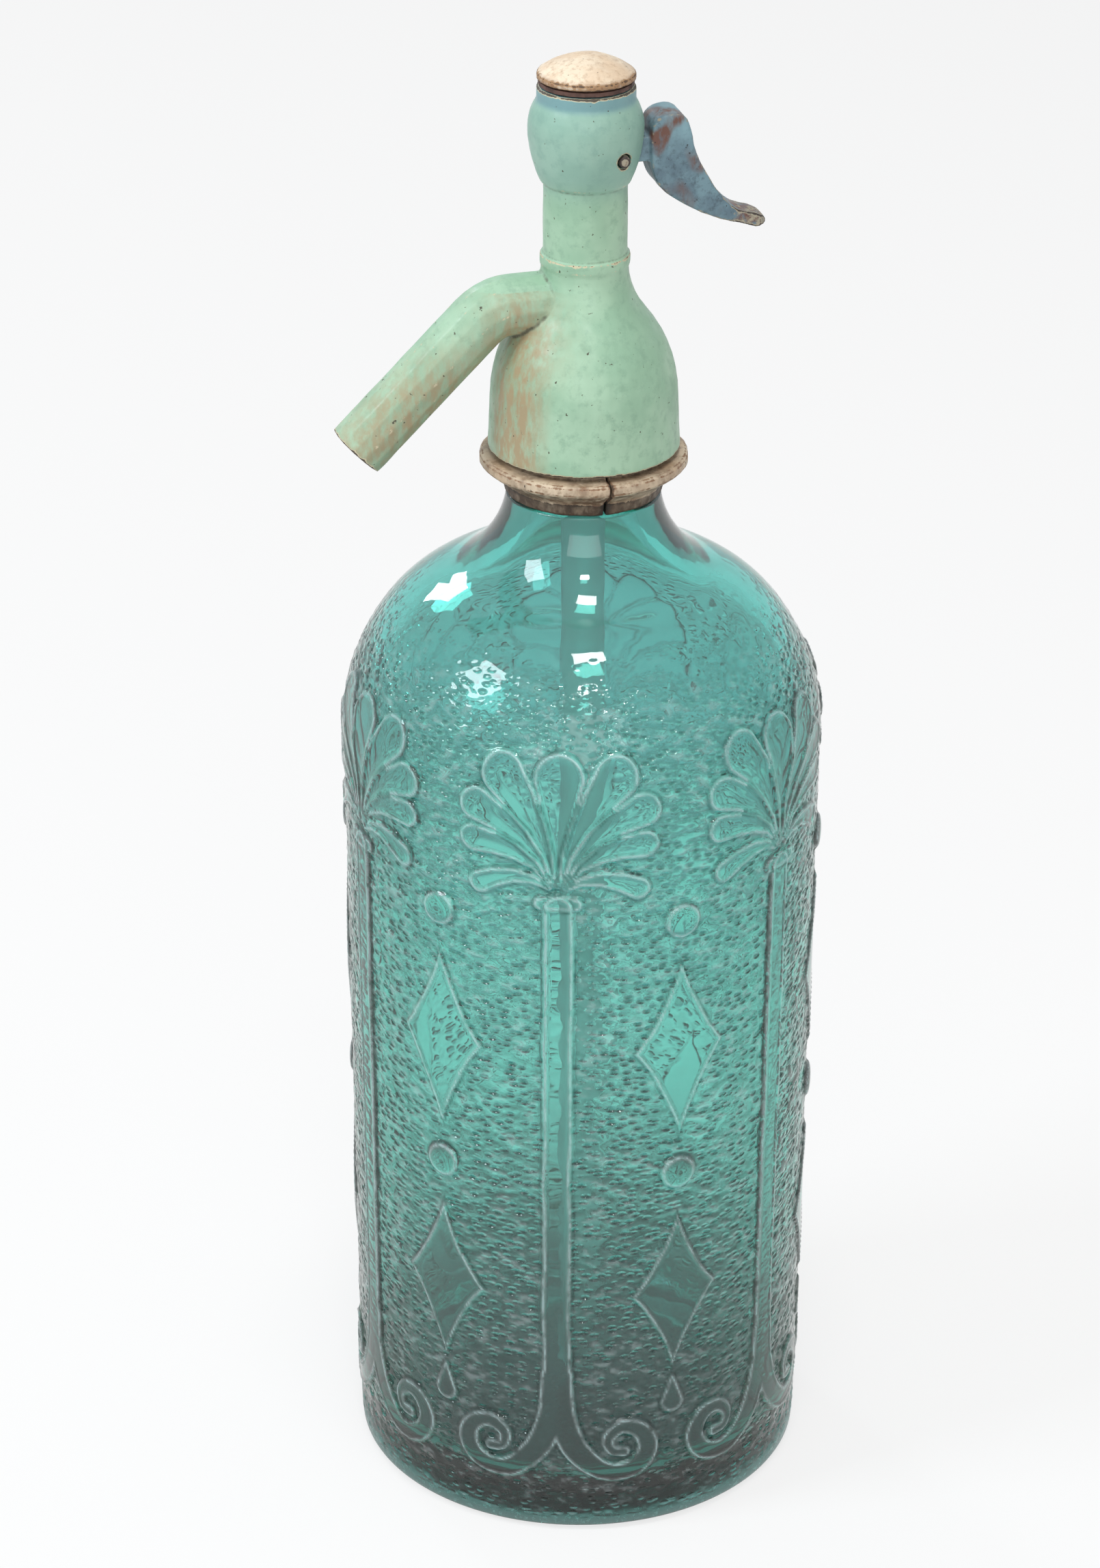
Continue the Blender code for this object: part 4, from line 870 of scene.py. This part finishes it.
def agedPaint(name, paint):
    finish, tree, shader = newFinish(name)
    cloud = between(tree, speckle(tree, paint["cloud"], 3.0, 0.55), 0.36, 0.64)
    coat = blendColour(tree, cloud, shade(paint["coats"][0]), shade(paint["coats"][1]))
    mottle = between(tree, speckle(tree, paint["cloud"] * 0.22, 5.0, 0.65), 0.46, 0.72)
    coat = blendColour(tree, calc(tree, "MULTIPLY", mottle, 0.75), coat, shade(paint["coats"][2]))
    coat = blendColour(tree, wearOf(tree, "cool"), coat, shade(paint["cool"]))
    streaky = between(tree, speckle(tree, 1.6, 4.0, 0.6, stretch=(1, 1, 0.4)), 0.3, 0.65)
    stained = calc(tree, "MULTIPLY", wearOf(tree, "stain"), calc(tree, "ADD", streaky, 0.35), clamp=True)
    coat = blendColour(tree, stained, coat, shade(paint["stain"]))
    broken = calc(tree, "MULTIPLY", speckle(tree, paint["chip"], 5.0, 0.62), 0.62)
    wear = calc(tree, "ADD", wearOf(tree, "worn"), broken)
    under = between(tree, wear, 0.52, 0.62)
    chip = between(tree, wear, 0.66, 0.74)
    coat = blendColour(tree, under, coat, shade(paint["under"]))
    coat = blendColour(tree, chip, coat, shade(paint["bare"]))
    pits = between(tree, speckle(tree, paint["pit"], 2.0, 0.5), 0.70, 0.76)
    coat = blendColour(tree, pits, coat, shade(paint["grimeAndShade"]))
    # grime in hollows, and painted shade where a piece marks its inner surfaces
    crevice = calc(tree, "ADD", wearOf(tree, "grimeAndShade"), calc(tree, "MULTIPLY", broken, 0.5))
    crevice = between(tree, crevice, 0.35, 0.85)
    coat = blendColour(tree, crevice, coat, shade(paint["grimeAndShade"]))
    tree.links.new(coat, shader.inputs["Base Color"])
    gloss = between(tree, speckle(tree, 4.0, 4.0, 0.6), 0.3, 0.7)
    rough = calc(tree, "ADD", calc(tree, "MULTIPLY", gloss, 0.22), paint["gloss"])
    dull = calc(tree, "MULTIPLY", calc(tree, "ADD", under, crevice), 0.15)
    rough = calc(tree, "ADD", rough, dull, clamp=True)
    tree.links.new(rough, shader.inputs["Roughness"])
    grain = speckle(tree, 0.9, 4.0, 0.6)
    film = calc(tree, "SUBTRACT", calc(tree, "MULTIPLY", grain, 0.55), calc(tree, "ADD", under, chip))
    film = calc(tree, "SUBTRACT", film, pits)
    reliefOf(tree, shader, film, paint["film"], 0.8)
    return finish


siphonHead = {
    "grain": 0.30,
    "easing": 6,
    "uneven": 0.16,
    "bumpSize": 6.0,
    "dents": [(-6, -14, 262, 2.2, 0.35), (12, -10, 250, 2.0, 0.3), (3, -8, 281, 1.3, 0.25)],
    "chips": [(-14, -11, 236, 1.2, 0.5), (9, -15, 243, 1.0, 0.5)],
    "paint": {
        "coats": ("93b79b", "a3c4a8", "86a98f"),
        "cool": "6f97a0",
        "stain": "a39272",
        "under": "c9bfa0",
        "bare": "4a4238",
        "grimeAndShade": "4b4a38",
        "cloud": 11.0,
        "chip": 1.5,
        "pit": 1.1,
        "gloss": 0.34,
        "film": 0.05,
    },
}


def makeHead(h):
    head = castingFrom("head_body", "siphonHead", h["grain"], h["easing"])
    wearSurface(head, h["uneven"], h["bumpSize"], h["dents"], seed=1)
    points = readPoints(head.data)
    x, y, z = points.T / mm
    edge = edgeWear(head, 0.12)
    angle = np.degrees(np.arctan2(y, x)) % 360
    inside = (np.hypot(x, y) < 16) & (z < 240)
    worn = np.clip(edge * 0.45, 0, 0.5) + spotWear(points, h["chips"])
    skirtSide = smoothStep(angle, 172, 196) * (1 - smoothStep(angle, 214, 238))
    skirtSide = skirtSide * (1 - smoothStep(z, 246, 264))
    root = np.exp(-((x + 15) / 7) ** 2 - ((z - 262) / 8) ** 2) * (z < 268)
    stain = skirtSide * 0.9 + root * 0.7
    cool = smoothStep(z, 284, 292) * 0.35 + smoothStep(z, 304.6, 306.2) * 0.5
    # grime in hollows, and painted shade on the head's inner surfaces low down
    grimeAndShade = np.clip(-edge * 0.5, 0, 0.8) + 0.6 * inside
    storeWear(head, "worn", worn)
    storeWear(head, "stain", np.clip(stain, 0, 1))
    storeWear(head, "cool", cool)
    storeWear(head, "grimeAndShade", grimeAndShade)
    head.data.materials.append(agedPaint("mintCastingPaint", h["paint"]))
    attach(head, "root")
    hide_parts("head_body")
    print("siphon: head casting, points:", len(points))


screwCap = {
    "grain": 0.22,
    "easing": 4,
    "uneven": 0.14,
    "bumpSize": 3.0,
    "dents": [(3, -4, 314.4, 2.0, 0.3), (-4, 2, 314.2, 2.5, 0.25)],
    "paint": {
        "coats": ("dcc3a6", "e8d6bd", "b99b7c"),
        "cool": "6f97a0",
        "stain": "8f6a4c",
        "under": "a5825f",
        "bare": "5a4535",
        "grimeAndShade": "4e3c2e",
        "cloud": 5.0,
        "chip": 1.2,
        "pit": 0.8,
        "gloss": 0.42,
        "film": 0.07,
    },
}


def makeCap(c):
    cap = castingFrom("top_cap", "screwCap", c["grain"], c["easing"])
    wearSurface(cap, c["uneven"], c["bumpSize"], c["dents"], seed=2)
    points = readPoints(cap.data)
    z = points[:, 2] / mm
    edge = edgeWear(cap, 0.10)
    storeWear(cap, "worn", np.clip(edge * 0.5, 0, 0.4) + 0.1 * (z < 311.6))
    storeWear(cap, "stain", 0.8 * (1 - smoothStep(z, 310.6, 311.6)))
    storeWear(cap, "cool", 0.3 * (1 - smoothStep(z, 309.6, 310.8)))
    storeWear(cap, "grimeAndShade", np.clip(-edge * 0.5, 0, 0.8) + 0.3 * (1 - smoothStep(z, 309.4, 310.4)))
    cap.data.materials.append(agedPaint("creamCapPaint", c["paint"]))
    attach(cap, "root")
    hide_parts("top_cap")


collarHalves = {
    "grain": 0.25,
    "easing": 5,
    "uneven": 0.22,
    "bumpSize": 5.0,
    "paint": {
        "coats": ("c3a98c", "d3c0a6", "8d725a"),
        "cool": "6f97a0",
        "stain": "6e5541",
        "under": "8a6a50",
        "bare": "4b3a2e",
        "grimeAndShade": "33281f",
        "cloud": 8.0,
        "chip": 1.4,
        "pit": 0.9,
        "gloss": 0.40,
        "film": 0.08,
    },
}


def makeCollar(c):
    finish = agedPaint("agedCollarPaint", c["paint"])
    for seed, side in enumerate(("spout_side", "lever_side")):
        half = castingFrom("collar_half_" + side, "collarHalf_" + side, c["grain"], c["easing"])
        wearSurface(half, c["uneven"], c["bumpSize"], seed=3 + seed)
        points = readPoints(half.data)
        x, y, z = points.T / mm
        edge = edgeWear(half, 0.12)
        seam = np.exp(-(x / 0.8) ** 2)
        storeWear(half, "worn", np.clip(edge * 0.5, 0, 0.4) + 0.15 * (z < 229))
        storeWear(half, "stain", np.clip(0.25 + 0.5 * (z < 229.3) + 0.5 * noiseAt(points, 9, 4), 0, 1))
        storeWear(half, "cool", np.zeros(len(points)))
        # a dark seam, grime in hollows, and painted shade in the bore
        storeWear(half, "grimeAndShade", np.clip(-edge * 0.5, 0, 0.8) + 0.4 * seam + 0.5 * (np.hypot(x, y) < 16.6))
        half.data.materials.append(finish)
        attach(half, "root")
        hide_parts("collar_half_" + side)


thumbLever = {
    "grain": 0.22,
    "easing": 4,
    "uneven": 0.18,
    "bumpSize": 4.0,
    "paint": {
        "coats": ("5d7480", "73909a", "45555e"),
        # paler blue, for the painted highlight
        "cool": "8fb4bd",
        "stain": "6b4a3f",
        "under": "a39a86",
        "bare": "3d332e",
        "grimeAndShade": "2b2a2a",
        "cloud": 5.0,
        "chip": 1.3,
        "pit": 0.9,
        "gloss": 0.38,
        "film": 0.07,
    },
}


def makeLever(v):
    lever = castingFrom("lever", "thumbLever", v["grain"], v["easing"])
    wearSurface(lever, v["uneven"], v["bumpSize"], seed=6)
    points = readPoints(lever.data)
    x, _, z = points.T / mm
    edge = edgeWear(lever, 0.12)
    storeWear(lever, "worn", np.clip(edge * 0.4, 0, 0.35) + 0.25 * smoothStep(x, 26, 33))
    storeWear(lever, "stain", np.clip(0.9 * smoothStep(noiseAt(points, 7, 8), 0.05, 0.45), 0, 1))
    # painted highlight: the upper outer part of the blade paler blue
    storeWear(lever, "cool", 0.5 * smoothStep(z, 292, 300) * smoothStep(x, 14, 16))
    storeWear(lever, "grimeAndShade", np.clip(-edge * 0.4, 0, 0.7))
    lever.data.materials.append(agedPaint("blueLeverPatina", v["paint"]))
    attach(lever, "lever")
    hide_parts("lever")


rustyPin = {"grain": 0.12, "easing": 3, "paint": thumbLever["paint"]}


def makePin(p):
    pin = castingFrom("lever_pin", "leverPin", p["grain"], p["easing"])
    points = readPoints(pin.data)
    edge = edgeWear(pin, 0.08)
    storeWear(pin, "worn", np.clip(edge * 0.4, 0, 0.3) + 0.3)
    storeWear(pin, "stain", np.full(len(points), 0.8))
    storeWear(pin, "cool", np.zeros(len(points)))
    storeWear(pin, "grimeAndShade", np.clip(-edge, 0, 0.6) + 0.2)
    pin.data.materials.append(agedPaint("rustyPinMetal", p["paint"]))
    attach(pin, "root")
    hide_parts("lever_pin")


makeHead(siphonHead)
makeCap(screwCap)
makeCollar(collarHalves)
makeLever(thumbLever)
makePin(rustyPin)
print("siphon: castings with their paint and wear")


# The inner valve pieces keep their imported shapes

innerFinishes = {
    "turnedBrass": {"colours": ("b08d4f", "8e6f3c"), "metal": 1.0, "rough": (0.28, 0.5), "grain": (1, 1, 6)},
    "dullTin": {"colours": ("9d9a92", "7f7b72"), "metal": 1.0, "rough": (0.35, 0.6), "grain": (1, 1, 4)},
    "springSteel": {"colours": ("8a8d92", "6d7075"), "metal": 1.0, "rough": (0.25, 0.42), "grain": (1, 1, 1)},
    "redRubber": {"colours": ("5f4137", "43302a"), "metal": 0.0, "rough": (0.6, 0.85), "grain": (1, 1, 1)},
    "greyRubber": {"colours": ("3b3a3a", "292828"), "metal": 0.0, "rough": (0.55, 0.8), "grain": (1, 1, 1)},
    "leather": {"colours": ("70492b", "4f3019"), "metal": 0.0, "rough": (0.45, 0.7), "grain": (1, 1, 1)},
}
innerPieces = {
    "turnedBrass": ("gland_nut", "valve_seat", "valve_holder", "valve_screw", "valve_spindle", "packing_nut",
                    "packing_washer"),
    "dullTin": ("tube_ferrule",),
    "redRubber": ("neck_gasket", "seat_gasket", "cap_washer"),
    "greyRubber": ("valve_rubber", "tube_sleeve"),
    "leather": ("packing_leather",),
}


def innerFinish(name, look):
    finish, tree, shader = newFinish(name)
    mottle = between(tree, speckle(tree, 2.5, 4.0, 0.6), 0.35, 0.68)
    colour = blendColour(tree, mottle, shade(look["colours"][0]), shade(look["colours"][1]))
    spots = between(tree, speckle(tree, 0.8, 3.0, 0.5), 0.66, 0.74)
    dark = blendColour(tree, 0.6, shade(look["colours"][1]), shade("1e1a16"))
    tree.links.new(blendColour(tree, spots, colour, dark), shader.inputs["Base Color"])
    shader.inputs["Metallic"].default_value = look["metal"]
    low, high = look["rough"]
    spread = calc(tree, "MULTIPLY", mottle, high - low)
    tree.links.new(calc(tree, "ADD", spread, low), shader.inputs["Roughness"])
    tooling = speckle(tree, 0.5, 3.0, 0.6, stretch=look["grain"])
    reliefOf(tree, shader, tooling, 0.03, 0.6)
    return finish


def dressInnerPieces():
    finishes = {name: innerFinish(name, look) for name, look in innerFinishes.items()}
    for name, nodes in innerPieces.items():
        for node in nodes:
            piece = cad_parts[node]
            for holder in piece.material_slots:
                holder.material = finishes[name]
    springCoil.data.materials.clear()
    springCoil.data.materials.append(finishes["springSteel"])


dressInnerPieces()
print("siphon: inner pieces dressed")

print("siphon: done")
